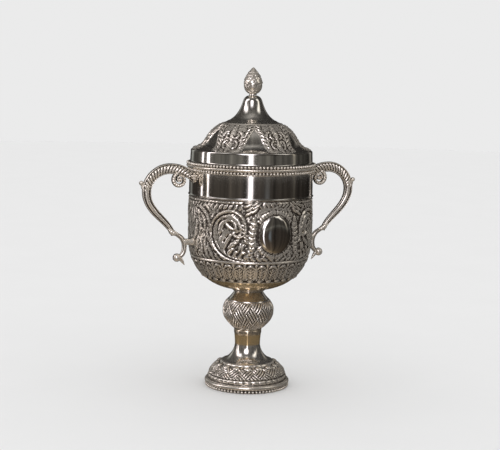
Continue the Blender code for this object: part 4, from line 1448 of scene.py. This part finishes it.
def pane(cup, name, turn, elevation, wide, tall, brightness, colour):
    """A soft light that faces the cup and lights it alone, so that the floor stays even"""
    light = bpy.data.lights.new(name, "AREA")
    light.shape = "RECTANGLE"
    light.size, light.size_y = (2 * PANE_AWAY * tan(radians(size / 2)) for size in (wide, tall))
    light.energy = brightness * pi * light.size * light.size_y
    light.color = colour
    light.use_nodes = True
    glow = Wiring(light.node_tree)
    x, y, _ = glow.parts(glow.node("NewGeometry").outputs["Parametric"])
    fade = [glow.clamped((0.5 - glow.math("ABSOLUTE", side - 0.5)) * PANE_EDGE) for side in (x, y)]
    glow.put(glow.tree.nodes["Emission"].inputs["Strength"], (fade[0] * fade[1]) ** 2)
    lamp = placed(name, light, toward(radians(turn), radians(elevation)), PANE_AWAY)
    lamp.visible_camera = False
    lamp.light_linking.receiver_collection = cup


def floor_disc(material):
    """A plain floor, which the silver doesn't mirror"""
    bm = bmesh.new()
    bmesh.ops.create_circle(bm, cap_ends=True, segments=96, radius=FLOOR)
    mesh = meshed(bm, "floor")
    mesh.materials.append(material)
    floor = bpy.data.objects.new("floor", mesh)
    floor.visible_glossy = False
    bpy.context.scene.collection.objects.link(floor)


def floor_finish(colours):
    """A plain matt floor with a faint unevenness"""
    paint = Paint("pale floor")
    shade = tuple(0.97 * part for part in colours.floor)
    paint.shade("Base Color", paint.mixed(paint.noise(9.0), (*colours.floor, 1), (*shade, 1)))
    paint.shade("Roughness", 0.9)
    return paint.material


def studio_world(colours):
    """Pale all round to the eye and to the floor, and a dim room with a brown table in the silver"""
    world = bpy.data.worlds.new("studio")
    world.use_nodes = True
    air = Wiring(world.node_tree)
    air.tree.nodes.clear()
    x, y, z = air.parts(air.node("TexCoord").outputs["Generated"])
    ramp = air.node("ValToRGB", Fac=z * 0.5 + 0.5)
    while len(ramp.color_ramp.elements) < len(ROOM):
        ramp.color_ramp.elements.new(0.5)
    for element, (position, colour) in zip(ramp.color_ramp.elements, ROOM):
        element.position = position
        element.color = (*colour, 1)
    turn = air.math("ARCTAN2", x, y)
    uneven = air.node("TexNoise", {"noise_dimensions": "1D"}, W=turn, Scale=4.5, Detail=4.0)
    streaks = 0.45 + 1.25 * air.clamped((Value(air, uneven.outputs["Fac"]) - 0.32) * 2.78)
    side = air.math("COSINE", turn - (pi - AZIMUTH + BRIGHT_SIDE))
    strength = streaks * (0.72 + 0.42 * side)
    room = air.node("Background", Color=ramp.outputs["Color"], Strength=strength)
    path = air.node("LightPath").outputs
    glow = 1 + (FLOOR_GLOW - 1) * Value(air, path["Is Diffuse Ray"])
    pale = air.node("Background", Color=(*colours.backdrop, 1), Strength=glow)
    mix = air.node("MixShader", Fac=path["Is Glossy Ray"])
    air.put(mix.inputs[1], pale.outputs[0])
    air.put(mix.inputs[2], room.outputs[0])
    air.node("OutputWorld", Surface=mix.outputs[0])
    bpy.context.scene.world = world


class CUP_OT_studio(bpy.types.Operator):
    """Lay the pale floor, stand the soft lights round the cup and set the camera"""

    bl_idname = "cup.studio"
    bl_label = "Studio"

    def execute(self, context):
        colours = context.scene.cup_colours
        studio_world(colours)
        floor_disc(floor_finish(colours))
        cup = bpy.data.collections.new("lit by the panes")
        for piece in context.scene.collection.objects:
            if piece.type == "MESH" and piece.name != "floor":
                cup.objects.link(piece)
        for values in PANES:
            pane(cup, *values)
        camera = bpy.data.cameras.new("camera")
        camera.lens = LENS
        camera.sensor_width = 36
        context.scene.camera = placed("camera", camera, toward(0, PITCH), AWAY, ROLL)
        context.scene.view_settings.view_transform = "Standard"
        return {"FINISHED"}


class CUP_PT_panel(bpy.types.Panel):
    """The cup's sizes, colours and pieces"""

    bl_idname = "CUP_PT_panel"
    bl_label = "Covered Cup"
    bl_space_type = "VIEW_3D"
    bl_region_type = "UI"
    bl_category = "Cup"

    def draw(self, context):
        for group in (context.scene.cup_sizes, context.scene.cup_colours):
            box = self.layout.box()
            for name in group.__annotations__:
                box.prop(group, name)
        for operator in OPERATORS:
            self.layout.operator(operator.bl_idname)


OPERATORS = (
    CUP_OT_foot, CUP_OT_knop, CUP_OT_bowl, CUP_OT_lid, CUP_OT_finial, CUP_OT_handles, CUP_OT_studio,
)
CLASSES = (CupSizes, CupColours, *OPERATORS, CUP_PT_panel)


def register():
    for item in CLASSES:
        bpy.utils.register_class(item)
    bpy.types.Scene.cup_sizes = bpy.props.PointerProperty(type=CupSizes)
    bpy.types.Scene.cup_colours = bpy.props.PointerProperty(type=CupColours)


def unregister():
    del bpy.types.Scene.cup_colours
    del bpy.types.Scene.cup_sizes
    for item in reversed(CLASSES):
        bpy.utils.unregister_class(item)


def main():
    register()
    cup = bpy.ops.cup
    for operator in (cup.foot, cup.knop, cup.bowl, cup.lid, cup.finial, cup.handles):
        operator()
    bpy.ops.cup.studio()


if __name__ == "__main__":
    main()
